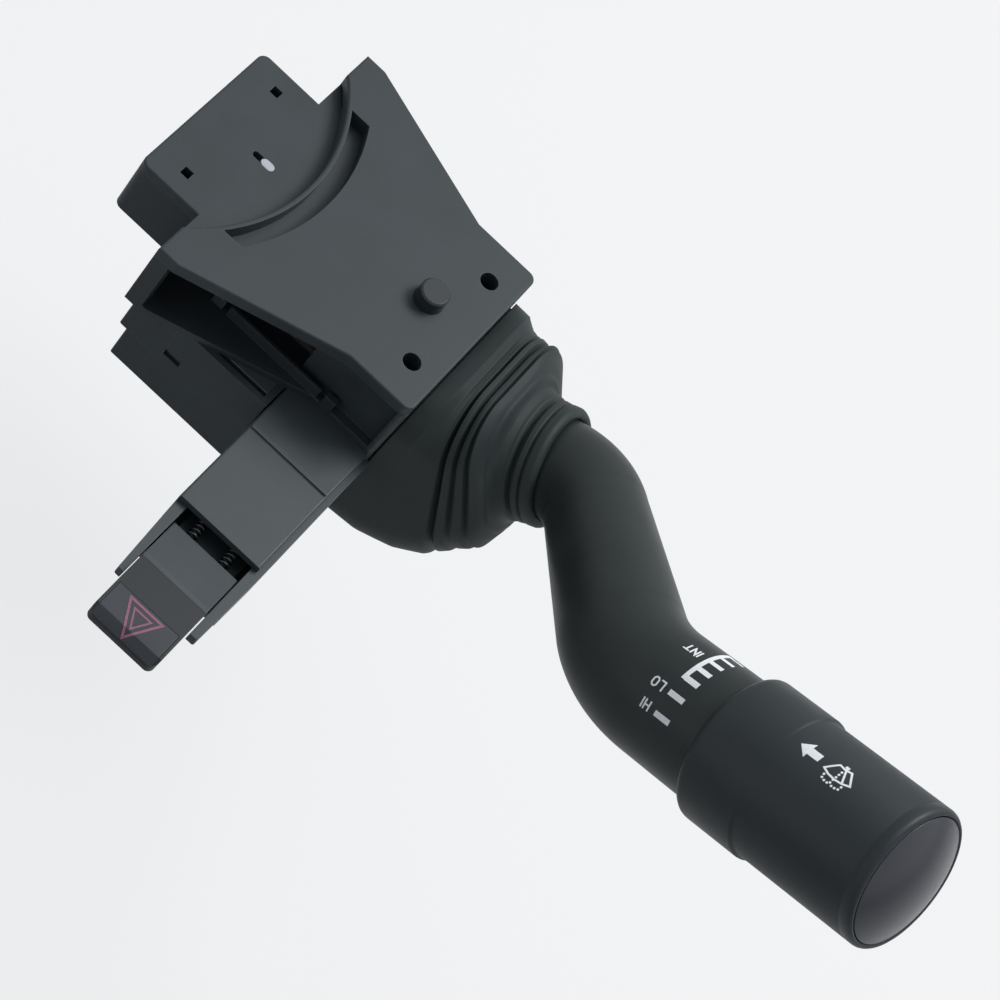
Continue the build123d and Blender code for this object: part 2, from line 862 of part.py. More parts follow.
turn_contacts.part.label = "turn_contacts"
export_step(turn_contacts.part, "parts/turn_contacts.step")

# Detent spring: a leaf with a V that rests in the swing arm's middle notch
leaf_thick = 0.5
leaf_half = 12.0
leaf_x = pivot_x - arm_radius - 2.6
leaf_tip_x = pivot_x - arm_radius + notch_depth - slide_gap
with BuildPart() as detent_spring:
    with BuildSketch(Plane.XY.offset(arm_low - 0.5)):
        with BuildLine():
            Polyline(
                (leaf_x, -leaf_half),
                (leaf_x, -3.5),
                (leaf_tip_x, 0),
                (leaf_x, 3.5),
                (leaf_x, leaf_half),
                (leaf_x - leaf_thick, leaf_half),
                (leaf_x - leaf_thick, 3.0),
                (leaf_tip_x - 1.5 * leaf_thick, 0),
                (leaf_x - leaf_thick, -3.0),
                (leaf_x - leaf_thick, -leaf_half),
                close=True,
            )
        make_face()
    extrude(amount=arm_thick + 0.5)
    for side in (-1, 1):
        near, far = sorted((side * leaf_half, side * (leaf_half + 1.5)))
        block(leaf_x - 2, leaf_x + 1, near, far, floor_top, arm_low + arm_thick)

detent_spring.part.label = "detent_spring"
export_step(detent_spring.part, "parts/detent_spring.step")

# Cancelling pawl, which the steering wheel's cam knocks back, on its pin
pawl_x = -28.0
pawl_low = arm_low + arm_thick + slide_gap
pawl_thick = 2.4
pawl_nose_x = -46.5
pawl_pin_dia = 3.0
pawl_tail_x = -22.0
with BuildPart() as pawl_pin:
    post(pawl_x, 0, arm_low + arm_thick, pawl_low + pawl_thick + slide_gap, pawl_pin_dia / 2)
    post(
        pawl_x,
        0,
        pawl_low + pawl_thick + slide_gap,
        pawl_low + pawl_thick + slide_gap + 0.8,
        pawl_pin_dia / 2 + 1,
    )

pawl_pin.part.label = "pawl_pin"
export_step(pawl_pin.part, "parts/pawl_pin.step")

with BuildPart() as cancel_pawl:
    with BuildSketch(Plane.XY.offset(pawl_low)):
        with BuildLine():
            Polyline(
                (pawl_tail_x, -2.2),
                (pawl_tail_x, 2.2),
                (pawl_x, 3.6),
                (pawl_nose_x + 1.5, 1.6),
                (pawl_nose_x, 0.6),
                (pawl_nose_x, -0.6),
                (pawl_nose_x + 1.5, -1.6),
                (pawl_x, -3.6),
                close=True,
            )
        make_face()
        with Locations((pawl_x, 0)):
            Circle(pawl_pin_dia / 2 + run_gap, mode=Mode.SUBTRACT)
        with Locations((pawl_tail_x, 0)):
            Rectangle(4.0, 1.1, mode=Mode.SUBTRACT)
    extrude(amount=pawl_thick)

cancel_pawl.part.label = "cancel_pawl"
export_step(cancel_pawl.part, "parts/cancel_pawl.step")

# Leaf that centres the pawl, held in a stud on the swing arm
with BuildPart() as pawl_spring:
    block(pawl_tail_x - 1.5, -16.0, -0.25, 0.25, pawl_low + 0.2, pawl_low + pawl_thick - 0.2)
    block(-16.0, -14.0, -1.0, 1.0, arm_low + arm_thick, pawl_low + pawl_thick)

pawl_spring.part.label = "pawl_spring"
export_step(pawl_spring.part, "parts/pawl_spring.step")

# Cross pin, which the lever rocks on
cross_plane = Plane(origin=(root_pin_x, 0, root_pin_z), x_dir=(1, 0, 0), z_dir=(0, 1, 0))
with BuildPart() as cross_pin:
    stage(cross_plane, -web, web, root_pin_dia / 2)

cross_pin.part.label = "cross_pin"
export_step(cross_pin.part, "parts/cross_pin.step")

# Main beam switch on the carrier's lower web, worked by the lever's root
with BuildPart() as beam_switch:
    block(root_pin_x - 3, root_pin_x + 4, -4, 4, cheek_low, cheek_low + 2.6)
    post(root_pin_x, 0, cheek_low + 2.6, cheek_low + 3.4, 1.2)

beam_switch.part.label = "beam_switch"
export_step(beam_switch.part, "parts/beam_switch.step")

# The plane of the lever: its x runs along the neck's axis and its y along -Y
lever_plane = Plane(
    origin=(neck_x, 0, neck_z), x_dir=(neck_cos, 0, neck_sin), z_dir=(neck_sin, 0, -neck_cos)
)
knob_turn = first_bend + second_bend
first_corner = (first_bend_at, 0)
second_corner = (
    first_corner[0] + middle_length * cos(radians(first_bend)),
    middle_length * sin(radians(first_bend)),
)
lever_end = (
    second_corner[0] + outer_length * cos(radians(knob_turn)),
    second_corner[1] + outer_length * sin(radians(knob_turn)),
)
with BuildLine(lever_plane) as stalk_route:
    FilletPolyline(
        (stalk_start, 0),
        first_corner,
        second_corner,
        lever_end,
        radius=[first_bend_radius, second_bend_radius],
    )
stalk_spans = stalk_route.edges().sort_by(Axis((neck_x, 0, neck_z), (neck_cos, 0, neck_sin)))
stalk_radii = [
    (stalk_root_radius, stalk_root_radius),
    (stalk_root_radius, stalk_neck_radius),
    (stalk_neck_radius, stalk_bend_radius),
    (stalk_bend_radius, stalk_outer_radius),
    (stalk_outer_radius, stalk_end_radius),
]
print("lever length", round(sum(span.length for span in stalk_spans), 1))

# Stalk: the bent lever tube, tapers joined by two bends
with BuildPart() as stalk:
    for inset, mode in ((0, Mode.ADD), (stalk_wall, Mode.SUBTRACT)):
        for span, (start_radius, end_radius) in zip(stalk_spans, stalk_radii):
            start = Plane(origin=span @ 0, z_dir=span % 0)
            end = Plane(origin=span @ 1, z_dir=span % 1)
            if span.geom_type == GeomType.CIRCLE:
                with BuildSketch(start):
                    Circle(start_radius - inset)
                with BuildSketch(end):
                    Circle(end_radius - inset)
                sweep(path=span, multisection=True, mode=mode)
            elif start_radius == end_radius:
                stage(start, 0, span.length, start_radius - inset, mode=mode)
            else:
                stage(start, 0, span.length, start_radius - inset, end_radius - inset, mode)

stalk.part.label = "stalk"
export_step(stalk.part, "parts/stalk.step")

# Lever root: the eye on the cross pin, the bar in the boot and the spigot in the stalk
neck_axis_plane = Plane(
    origin=(neck_x, 0, neck_z), x_dir=(0, 1, 0), z_dir=(neck_cos, 0, neck_sin)
)
spigot_radius = stalk_root_radius - stalk_wall - 0.5 * run_gap
lead_radius = 2.2
with BuildPart() as lever_root:
    with BuildSketch(neck_axis_plane.offset(root_along)):
        Rectangle(root_width, root_height)
    extrude(amount=stalk_start - root_along - 1)
    stage(cross_plane, -root_width / 2, root_width / 2, root_eye)
    stage(neck_axis_plane, stalk_start - 2, stalk_start, stalk_root_radius)
    stage(neck_axis_plane, stalk_start, stalk_start + root_spigot, spigot_radius)
    stage(
        cross_plane,
        -root_width,
        root_width,
        root_pin_dia / 2 + run_gap,
        mode=Mode.SUBTRACT,
    )
    stage(
        neck_axis_plane,
        stalk_start + 1,
        stalk_start + root_spigot + 1,
        lead_radius + run_gap,
        mode=Mode.SUBTRACT,
    )

lever_root.part.label = "lever_root"
export_step(lever_root.part, "parts/lever_root.step")

# Knob parts are turned about the lever's outer end
knob_direction = Vector(
    neck_cos * cos(radians(knob_turn)),
    -sin(radians(knob_turn)),
    neck_sin * cos(radians(knob_turn)),
)
knob_plane = Plane(
    origin=stalk_spans[-1] @ 1, x_dir=(neck_sin, 0, -neck_cos), z_dir=knob_direction
)
print("knob origin", knob_plane.origin, "axis", knob_plane.z_dir)

# Spindle, which is pressed into the stalk's end and carries the knob
plug_depth = 6.0
flange_thick = 1.5
plug_radius = stalk_end_radius - stalk_wall - 0.6
with BuildPart() as knob_spindle:
    stage(knob_plane, -plug_depth, 0, plug_radius)
    stage(knob_plane, 0, flange_thick, stalk_end_radius - 0.8)
    stage(knob_plane, flange_thick, spindle_end, spindle_radius)
    stage(knob_plane, flange_thick, spindle_end + 1, spindle_bore, mode=Mode.SUBTRACT)
    stage(knob_plane, spindle_end - 2.0, spindle_end - 1.2, spindle_radius + 1, mode=Mode.SUBTRACT)
    stage(knob_plane, spindle_end - 2.0, spindle_end - 1.2, spindle_radius - 0.6)
    stage(knob_plane, spindle_end - 2.0, spindle_end - 1.2, spindle_bore, mode=Mode.SUBTRACT)

knob_spindle.part.label = "knob_spindle"
export_step(knob_spindle.part, "parts/knob_spindle.step")

# Spring clip in the spindle's groove
with BuildPart() as spindle_clip:
    stage(knob_plane, spindle_end - 1.95, spindle_end - 1.25, spindle_radius + 1.6)
    stage(
        knob_plane, spindle_end - 3, spindle_end, spindle_radius - 0.6 + run_gap, mode=Mode.SUBTRACT
    )
    with Locations(knob_plane.offset(spindle_end - 3)):
        with Locations((spindle_radius, 0)):
            Box(2 * spindle_radius, 3.0, 4.0, align=on_floor, mode=Mode.SUBTRACT)

spindle_clip.part.label = "spindle_clip"
export_step(spindle_clip.part, "parts/spindle_clip.step")

# Lead from the knob's contacts down the hollow stalk to the lever root
with BuildPart() as wiper_lead:
    with BuildLine(lever_plane) as lead_route:
        FilletPolyline(
            (stalk_start + 1, 0),
            first_corner,
            second_corner,
            (
                lever_end[0] - plug_depth * cos(radians(knob_turn)),
                lever_end[1] - plug_depth * sin(radians(knob_turn)),
            ),
            radius=[first_bend_radius, second_bend_radius],
        )
    with BuildSketch(neck_axis_plane.offset(stalk_start + 1)):
        Circle(lead_radius)
    sweep()

wiper_lead.part.label = "wiper_lead"
export_step(wiper_lead.part, "parts/wiper_lead.step")

# Wiper contact disc on the spindle, with its copper segments
disc_start = 9.0
disc_thick = 1.5
disc_radius = 12.5
segment_thick = 0.3
with BuildPart() as contact_disc:
    stage(knob_plane, disc_start, disc_start + disc_thick, disc_radius)
    stage(knob_plane, disc_start - 1, disc_start + 3, spindle_radius, mode=Mode.SUBTRACT)

contact_disc.part.label = "contact_disc"
export_step(contact_disc.part, "parts/contact_disc.step")

segment_start = disc_start + disc_thick
with BuildPart() as wiper_contacts:
    with BuildSketch(knob_plane.offset(segment_start)):
        with PolarLocations(10.6, 8):
            RectangleRounded(2.4, 3.6, 0.4)
    extrude(amount=segment_thick)

wiper_contacts.part.label = "wiper_contacts"
export_step(wiper_contacts.part, "parts/wiper_contacts.step")

# Washer switch inside the spindle
washer_switch_top = spindle_end - 2.2
with BuildPart() as washer_switch:
    stage(knob_plane, flange_thick, washer_switch_top - 0.8, spindle_bore - run_gap)
    stage(knob_plane, washer_switch_top - 0.8, washer_switch_top, 1.5)

washer_switch.part.label = "washer_switch"
export_step(washer_switch.part, "parts/washer_switch.step")

# Knob collar: the flared inner ring of the knob, with the first bearing web
collar_bore = collar_radius - 2.1
collar_bevel = 1.0
web_start = 4.4
web_thick = 2.2
with BuildPart() as knob_collar:
    stage(knob_plane, collar_start, collar_flare, collar_radius - collar_bevel, collar_radius)
    stage(knob_plane, collar_flare, collar_end, collar_radius)
    stage(knob_plane, collar_start - 1, web_start, stalk_end_radius - 0.4, mode=Mode.SUBTRACT)
    stage(knob_plane, web_start + web_thick, collar_end + 1, collar_bore, mode=Mode.SUBTRACT)
    stage(knob_plane, 0, collar_end, spindle_radius + run_gap, mode=Mode.SUBTRACT)

knob_collar.part.label = "knob_collar"
export_step(knob_collar.part, "parts/knob_collar.step")

# Brush ring inside the collar
brush_gap = 0.3
rotor_start = segment_start + segment_thick + brush_gap
with BuildPart() as wiper_rotor:
    stage(knob_plane, rotor_start + 1, rotor_start + 3.5, collar_bore)
    stage(knob_plane, rotor_start, rotor_start + 4, spindle_radius + 1, mode=Mode.SUBTRACT)
    with BuildSketch(knob_plane.offset(rotor_start)):
        with PolarLocations(10.6, 4):
            Circle(1.0)
    extrude(amount=1)

wiper_rotor.part.label = "wiper_rotor"
export_step(wiper_rotor.part, "parts/wiper_rotor.step")

# Knob grip: the outer sleeve, with its bearing web, the stem's guide and the button's mouth
grip_bore = knob_radius - knob_wall
grip_web_back = 5.0
guide_ahead = 3.0
grip_web_start = spindle_end - grip_web_back
guide_start = spindle_end + guide_ahead
guide_thick = 1.6
with BuildPart() as knob_grip:
    with BuildSketch(knob_plane.offset(collar_end)):
        Ellipse(knob_wide, knob_radius, rotation=knob_oval_turn)
    extrude(amount=knob_end - collar_end)
    fillet(edges().sort_by(Axis(knob_plane.origin, knob_plane.z_dir))[-1], knob_round)
    stage(knob_plane, collar_end - 1, grip_web_start, collar_bore, mode=Mode.SUBTRACT)
    stage(
        knob_plane,
        grip_web_start + web_thick,
        guide_start,
        grip_bore - 1.5,
        mode=Mode.SUBTRACT,
    )
    stage(
        knob_plane, grip_web_start - 1, guide_start, spindle_radius + run_gap, mode=Mode.SUBTRACT
    )
    stage(
        knob_plane,
        guide_start + guide_thick,
        knob_end + 1,
        button_radius + seat_gap,
        mode=Mode.SUBTRACT,
    )
    stage(knob_plane, guide_start - 1, knob_end, stem_radius + run_gap, mode=Mode.SUBTRACT)

knob_grip.part.label = "knob_grip"
export_step(knob_grip.part, "parts/knob_grip.step")

# Washer button: a shallow dome on a stem, pushed in along the knob's axis
button_low = knob_end - button_edge
dome_radius = (button_radius**2 + button_dome**2) / (2 * button_dome)
with BuildPart() as washer_button:
    stage(knob_plane, button_low, knob_end, button_radius)
    with Locations(knob_plane.offset(knob_end + button_dome - dome_radius)):
        Sphere(dome_radius)
    stage(knob_plane, -3 * dome_radius, button_low, 3 * dome_radius, mode=Mode.SUBTRACT)
    with BuildSketch(knob_plane.offset(button_low)):
        Circle(3 * dome_radius)
        Circle(button_radius, mode=Mode.SUBTRACT)
    extrude(amount=3 * dome_radius, mode=Mode.SUBTRACT)
    stage(knob_plane, washer_switch_top + button_travel + brush_gap, button_low, stem_radius)

washer_button.part.label = "washer_button"
export_step(washer_button.part, "parts/washer_button.step")


def coil(plane, start, end, radius, wire, turns):
    """A wire spring wound along the plane's normal from start to end."""
    low = plane.offset(start + wire / 2 + run_gap)
    height = end - start - wire - 2 * run_gap
    path = Helix(pitch=height / turns, height=height, radius=radius)
    path = low.location * path
    section = Plane(origin=path @ 0, z_dir=path % 0)
    return path, section


# Washer return spring round the button's stem
washer_coil, washer_section = coil(
    knob_plane, guide_start + guide_thick, button_low, stem_radius + 2.0, 0.6, 5
)
with BuildPart() as washer_spring:
    with BuildSketch(washer_section):
        Circle(0.3)
    sweep(path=washer_coil, is_frenet=True)

washer_spring.part.label = "washer_spring"
export_step(washer_spring.part, "parts/washer_spring.step")

# Hazard channel: the arm's open trough with its two side rails, which run on past its floor
with BuildPart() as hazard_channel:
    with BuildSketch(Plane.XY.offset(channel_bottom)):
        Polygon(
            (arm_left, arm_root_y),
            (arm_left, deck_end_y),
            (arm_left + rail_taper, rail_end_y),
            (arm_right - rail_taper / 2, rail_end_y),
            (arm_right, deck_end_y),
            (arm_right, arm_root_y),
            align=None,
        )
    extrude(amount=rail_top - channel_bottom)
    fillet(edges().filter_by(Axis.Z).group_by(Axis.Y)[0], edge_round)
    block(
        arm_left - 1,
        arm_right + 1,
        rail_end_y - 1,
        trough_end_y,
        channel_bottom - 1,
        rail_top - rail_end_deep,
        Mode.SUBTRACT,
    )
    block(
        arm_left + arm_rail,
        arm_right - arm_rail,
        rail_end_y - 1,
        arm_root_y + 1,
        channel_bottom + floor_thick,
        rail_top + 1,
        Mode.SUBTRACT,
    )

hazard_channel.part.label = "hazard_channel"
export_step(hazard_channel.part, "parts/hazard_channel.step")

# Hazard deck: the lid of the arm, with the hanging bar that the return springs push on
spring_bar_y = -58.0
spring_bar_thick = 1.6
channel_floor = channel_bottom + floor_thick
stem_low = channel_floor + slide_gap
stem_top = stem_low + stem_thick
deck_right = arm_right - arm_rail / 2
with BuildPart() as hazard_deck:
    block(arm_left, deck_right, deck_end_y, arm_root_y, rail_top, upper_bottom)
    fillet(edges().filter_by(Axis.Y).group_by(Axis.Z)[-1], edge_round)
    block(
        arm_left + edge_round,
        deck_right - edge_round,
        ridge_y - ridge_high,
        ridge_y + ridge_high,
        upper_bottom,
        upper_bottom + ridge_high,
    )
    block(
        arm_left + arm_rail + seat_gap,
        arm_right - arm_rail - seat_gap,
        spring_bar_y,
        spring_bar_y + spring_bar_thick,
        stem_top + slide_gap,
        rail_top,
    )

hazard_deck.part.label = "hazard_deck"
export_step(hazard_deck.part, "parts/hazard_deck.step")

# Hazard slider: the finger ramp, the nose under the cap and the stem under the deck
button_left = button_x - button_width / 2
button_right = button_x + button_width / 2
cap_low = cap_top - cap_thick
ramp_top = cap_top - cap_drop - seat_gap
ramp_low = rail_top - 1.0
nose_x = button_width / 2 - cap_wall - seat_gap
nose_low = cap_low + 0.3
nose_high = nose_low + 1.3
with BuildPart() as hazard_slider:
    with BuildSketch(Plane.YZ.offset(button_left)):
        with BuildLine():
            Polyline(
                (cap_rear_y, nose_low),
                (cap_rear_y, ramp_top),
                (cap_rear_y + 1.2, ramp_top),
                (button_rear_y, ramp_low),
                (button_rear_y, stem_low),
                (trough_end_y + 1, stem_low),
                close=True,
            )
        make_face()
    extrude(amount=button_width)
    block(
        button_x - nose_x,
        button_x + nose_x,
        cap_round_y + 1,
        cap_rear_y,
        nose_low,
        nose_high,
    )
    block(
        button_x - button_width / 2 + 1,
        button_x + button_width / 2 - 1,
        button_rear_y,
        stem_end_y,
        stem_low,
        stem_top,
    )

hazard_slider.part.label = "hazard_slider"
export_step(hazard_slider.part, "parts/hazard_slider.step")


# Long section of the hazard cap and its lens, ridged across the middle and rounded at its tip
with BuildSketch(Plane.YZ) as cap_section:
    Polygon(
        (cap_rear_y, cap_low),
        (cap_rear_y, cap_top - cap_drop),
        (cap_ridge_y, cap_top),
        (cap_round_y, cap_top - cap_drop / 2),
        (cap_end_y, cap_top - lens_thick),
        (cap_end_y, cap_low + 1.4),
        (cap_round_y + 3.8, cap_low),
        align=None,
    )
    fillet(vertices().sort_by(Axis.X)[:3], edge_round)

# Hazard cap, with the pocket for its lens
with BuildPart() as hazard_cap:
    extrude(cap_section.sketch.moved(Location((button_left, 0, 0))), amount=button_width)
    with BuildSketch(Plane.XY.offset(cap_low - 1)):
        with Locations((button_x, (cap_end_y + cap_rear_y) / 2)):
            Rectangle(button_width, cap_rear_y - cap_end_y)
        fillet(vertices().group_by(Axis.Y)[0], corner_round)
    extrude(amount=cap_thick + 2, mode=Mode.INTERSECT)
    block(
        button_left + cap_wall,
        button_right - cap_wall,
        cap_round_y + 0.5,
        cap_rear_y + 1,
        cap_low - 1,
        nose_high + seat_gap,
        Mode.SUBTRACT,
    )
    block(
        button_x - lens_width / 2 - seat_gap / 2,
        button_x + lens_width / 2 + seat_gap / 2,
        lens_far_y - seat_gap / 2,
        lens_near_y + seat_gap / 2,
        cap_top - lens_thick,
        cap_top + 1,
        Mode.SUBTRACT,
    )

hazard_cap.part.label = "hazard_cap"
export_step(hazard_cap.part, "parts/hazard_cap.step")

# Lens, with the same top as the cap
with BuildPart() as hazard_lens:
    extrude(
        cap_section.sketch.moved(Location((button_x - lens_width / 2, 0, 0))), amount=lens_width
    )
    block(
        button_x - lens_width / 2,
        button_x + lens_width / 2,
        lens_far_y,
        lens_near_y,
        cap_top - lens_thick,
        cap_top + 1,
        Mode.INTERSECT,
    )

hazard_lens.part.label = "hazard_lens"
export_step(hazard_lens.part, "parts/hazard_lens.step")

# Two return springs between the slider and the bar under the deck
spring_z = (stem_top + rail_top) / 2 + run_gap
spring_pairs = []
for x in (button_x - hazard_spring_x, button_x + hazard_spring_x):
    plane = Plane(origin=(x, button_rear_y, spring_z), x_dir=(1, 0, 0), z_dir=(0, 1, 0))
    spring_pairs.append(
        coil(plane, 0, spring_bar_y - button_rear_y, hazard_spring_radius, hazard_spring_wire, 7)
    )
with BuildPart() as hazard_springs:
    for path, section in spring_pairs:
        with BuildSketch(section):
            Circle(hazard_spring_wire / 2)
        sweep(path=path, is_frenet=True)

hazard_springs.part.label = "hazard_springs"
export_step(hazard_springs.part, "parts/hazard_springs.step")

# Hazard contacts: the bridge on the stem and the fixed strips under the deck
hazard_bridge_thick = 0.4
with BuildPart() as hazard_bridge:
    block(
        button_x - 5, button_x + 5, -47.5, -44.5, stem_top, stem_top + hazard_bridge_thick
    )

hazard_bridge.part.label = "hazard_bridge"
export_step(hazard_bridge.part, "parts/hazard_bridge.step")

with BuildPart() as hazard_contacts:
    for x in (button_x - 4, button_x + 4):
        block(
            x - 0.8, x + 0.8, -49, -36, stem_top + hazard_bridge_thick + slide_gap, rail_top
        )

hazard_contacts.part.label = "hazard_contacts"
export_step(hazard_contacts.part, "parts/hazard_contacts.step")
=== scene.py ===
# %% [markdown]
# # Combination stalk switch
# The switch sits behind a steering wheel. A flat trapezoid housing carries a bent lever in a
# rubber boot, a turning wiper knob, and a narrow arm with a hazard button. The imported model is
# the frame here. Most of its rigid shapes stay, and this script gives them finishes. It draws the
# lever, the soft boot, the knob's sleeve and the printed marks, and sets up the studio.

import json
import math

import bmesh
import bpy
from mathutils import Matrix, Vector
from mathutils.bvhtree import BVHTree


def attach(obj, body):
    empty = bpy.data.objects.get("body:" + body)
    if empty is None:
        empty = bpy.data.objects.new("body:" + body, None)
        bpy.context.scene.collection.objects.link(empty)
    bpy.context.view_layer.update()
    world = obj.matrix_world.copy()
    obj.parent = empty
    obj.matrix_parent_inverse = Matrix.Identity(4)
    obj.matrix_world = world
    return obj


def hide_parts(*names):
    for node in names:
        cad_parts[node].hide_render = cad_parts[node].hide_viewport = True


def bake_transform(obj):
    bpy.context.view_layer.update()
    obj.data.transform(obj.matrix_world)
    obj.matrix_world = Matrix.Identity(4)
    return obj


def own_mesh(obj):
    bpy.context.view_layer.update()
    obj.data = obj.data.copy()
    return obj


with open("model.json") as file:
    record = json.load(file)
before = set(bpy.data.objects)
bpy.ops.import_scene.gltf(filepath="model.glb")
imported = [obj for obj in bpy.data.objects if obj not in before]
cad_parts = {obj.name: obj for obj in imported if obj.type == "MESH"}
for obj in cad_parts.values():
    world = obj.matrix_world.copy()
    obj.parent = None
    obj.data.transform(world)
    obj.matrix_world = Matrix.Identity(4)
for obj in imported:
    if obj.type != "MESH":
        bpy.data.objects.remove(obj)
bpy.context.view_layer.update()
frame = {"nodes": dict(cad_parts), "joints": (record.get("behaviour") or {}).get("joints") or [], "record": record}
MM = 0.001
cad = frame["nodes"]
joints = {joint["name"]: joint for joint in frame["joints"]}

# %% [markdown]
# ## Small helpers
# Colours are written as sRGB hex and turned to linear values in one place. One function adds any
# node to any tree. One function makes a mesh from rings of points, because most of the shaped
# pieces here are stacks of rings: a boot, a sleeve, a bent tube.


# %% Colours and nodes
def shade(code):
    """An sRGB hex colour as linear RGBA."""
    parts = [int(code[at : at + 2], 16) / 255 for at in (0, 2, 4)]
    return [v / 12.92 if v <= 0.04045 else ((v + 0.055) / 1.055) ** 2.4 for v in parts] + [1.0]


def node(tree, kind, inputs=None, **settings):
    """A new node in a tree, with its settings, and its inputs set or linked."""
    made = tree.nodes.new(kind)
    for key, value in settings.items():
        setattr(made, key, value)
    for key, value in (inputs or {}).items():
        if isinstance(value, bpy.types.NodeSocket):
            tree.links.new(value, made.inputs[key])
        else:
            made.inputs[key].default_value = value
    return made


print("cover plate grey in linear light:", [round(v, 4) for v in shade("484E52")[:3]])


# %% Meshes
def shown(name, points, faces, material, smooth=True):
    """A new object from points in metres and faces, ready to ride on a body."""
    mesh = bpy.data.meshes.new(name)
    mesh.from_pydata([tuple(point) for point in points], [], faces)
    mesh.validate()
    if smooth:
        mesh.shade_smooth()
    piece = bpy.data.objects.new(name, mesh)
    bpy.context.scene.collection.objects.link(piece)
    piece.data.materials.append(material)
    return piece


def ring_faces(rings, count, closed):
    """Quads between rings of points, and from the last ring to the first if closed."""
    faces = []
    for ring in range(rings if closed else rings - 1):
        here, there = ring * count, (ring + 1) % rings * count
        for at in range(count):
            beside = (at + 1) % count
            faces.append((here + at, here + beside, there + beside, there + at))
    return faces


SAME_PLACE_MM = 0.0001


def outward(piece):
    """Merges the doubled points of a closed piece and turns its faces outwards."""
    shape = bmesh.new()
    shape.from_mesh(piece.data)
    bmesh.ops.remove_doubles(shape, verts=shape.verts, dist=SAME_PLACE_MM * MM)
    bmesh.ops.recalc_face_normals(shape, faces=shape.faces)
    shape.to_mesh(piece.data)
    shape.free()
    return piece


print("points closer than", SAME_PLACE_MM, "mm are merged in the drawn pieces")

# %% [markdown]
# ## Camera
# The camera is where the photographer's was. It was found by fitting a pinhole camera to the
# straight edges of the cover plate and the square corners of the housing.

# %% Camera
EYE_MM = Vector((11.549, -422.079, 521.984))
LENS_MM, SENSOR_MM = 117.52, 36
NEAREST, FARTHEST = 0.05, 20
view_right = Vector((0.72879, 0.53094, 0.4324))
view_up = Vector((-0.68403, 0.59325, 0.42445))
view_back = view_right.cross(view_up)
camera = bpy.data.objects.new("camera", bpy.data.cameras.new("camera"))
camera.data.lens = LENS_MM
camera.data.sensor_width = SENSOR_MM
camera.data.clip_start = NEAREST
camera.data.clip_end = FARTHEST
facing = Matrix((view_right, view_up, view_back)).transposed().to_4x4()
camera.matrix_world = Matrix.Translation(EYE_MM * MM) @ facing
bpy.context.scene.collection.objects.link(camera)
bpy.context.scene.camera = camera
print("camera looks along", [round(v, 3) for v in -view_back])

# %% [markdown]
# ## Studio
# A white sweep and big soft lamps, as for a parts catalogue. More light would whiten the ground but
# wash out the black plastic, so the ground is made pale in another way. The world shows its pale
# colour to the camera, to reflections and through glass, and gives only a soft grey light. The
# floor glows for the camera alone, and the small matt share that is left keeps the shadow.

# %% Studio
FLOOR_Z = -0.115
SWEEP_HALF = 3.0
PALE = "F4F5F6"
SKY_STRENGTH = 0.27
GLOW_SHARE = 0.86
world = bpy.data.worlds.new("studio")
bpy.context.scene.world = world
world.use_nodes = True
tree = world.node_tree
tree.nodes.clear()
path = node(tree, "ShaderNodeLightPath")
seen = node(
    tree,
    "ShaderNodeMath",
    {0: path.outputs["Is Camera Ray"], 1: path.outputs["Is Transmission Ray"]},
    operation="MAXIMUM",
)
seen = node(
    tree,
    "ShaderNodeMath",
    {0: seen.outputs[0], 1: path.outputs["Is Glossy Ray"]},
    operation="MAXIMUM",
)
pale = node(tree, "ShaderNodeBackground", {"Color": shade(PALE), "Strength": 1.0})
soft = node(tree, "ShaderNodeBackground", {"Color": shade("DDE2E8"), "Strength": SKY_STRENGTH})
both = node(tree, "ShaderNodeMixShader", {0: seen.outputs[0], 1: soft.outputs[0], 2: pale.outputs[0]})
node(tree, "ShaderNodeOutputWorld", {"Surface": both.outputs[0]})


def blank_material(name):
    """A new material without nodes, and its tree."""
    material = bpy.data.materials.new(name)
    material.use_nodes = True
    material.node_tree.nodes.clear()
    return material, material.node_tree


# Paper: matt and nearly white, so the ground is even and the shadow on it stays soft
paper, tree = blank_material("paper_sweep")
path = node(tree, "ShaderNodeLightPath")
share = node(
    tree,
    "ShaderNodeMath",
    {0: path.outputs["Is Camera Ray"], 1: GLOW_SHARE},
    operation="MULTIPLY",
)
matt = node(tree, "ShaderNodeBsdfDiffuse", {"Color": shade("E9EAEB")})
glow = node(tree, "ShaderNodeEmission", {"Color": shade(PALE), "Strength": 1.0})
both = node(tree, "ShaderNodeMixShader", {0: share.outputs[0], 1: matt.outputs[0], 2: glow.outputs[0]})
node(tree, "ShaderNodeOutputMaterial", {"Surface": both.outputs[0]})

corners = [(x * SWEEP_HALF, y * SWEEP_HALF, FLOOR_Z) for x, y in ((-1, -1), (1, -1), (1, 1), (-1, 1))]
floor = shown("floor", corners, [(0, 1, 2, 3)], paper, smooth=False)
SWITCH_MIDDLE = Vector((0.03, -0.02, -0.01))


def softbox(name, direction, distance, size, power):
    """A square white lamp that looks at the middle of the switch, in metres and watts."""
    lamp = bpy.data.objects.new(name, bpy.data.lights.new(name, "AREA"))
    lamp.data.shape = "SQUARE"
    lamp.data.size = size
    lamp.data.energy = power
    lamp.location = SWITCH_MIDDLE + direction.normalized() * distance
    lamp.rotation_euler = direction.to_track_quat("Z", "Y").to_euler()
    bpy.context.scene.collection.objects.link(lamp)
    return lamp


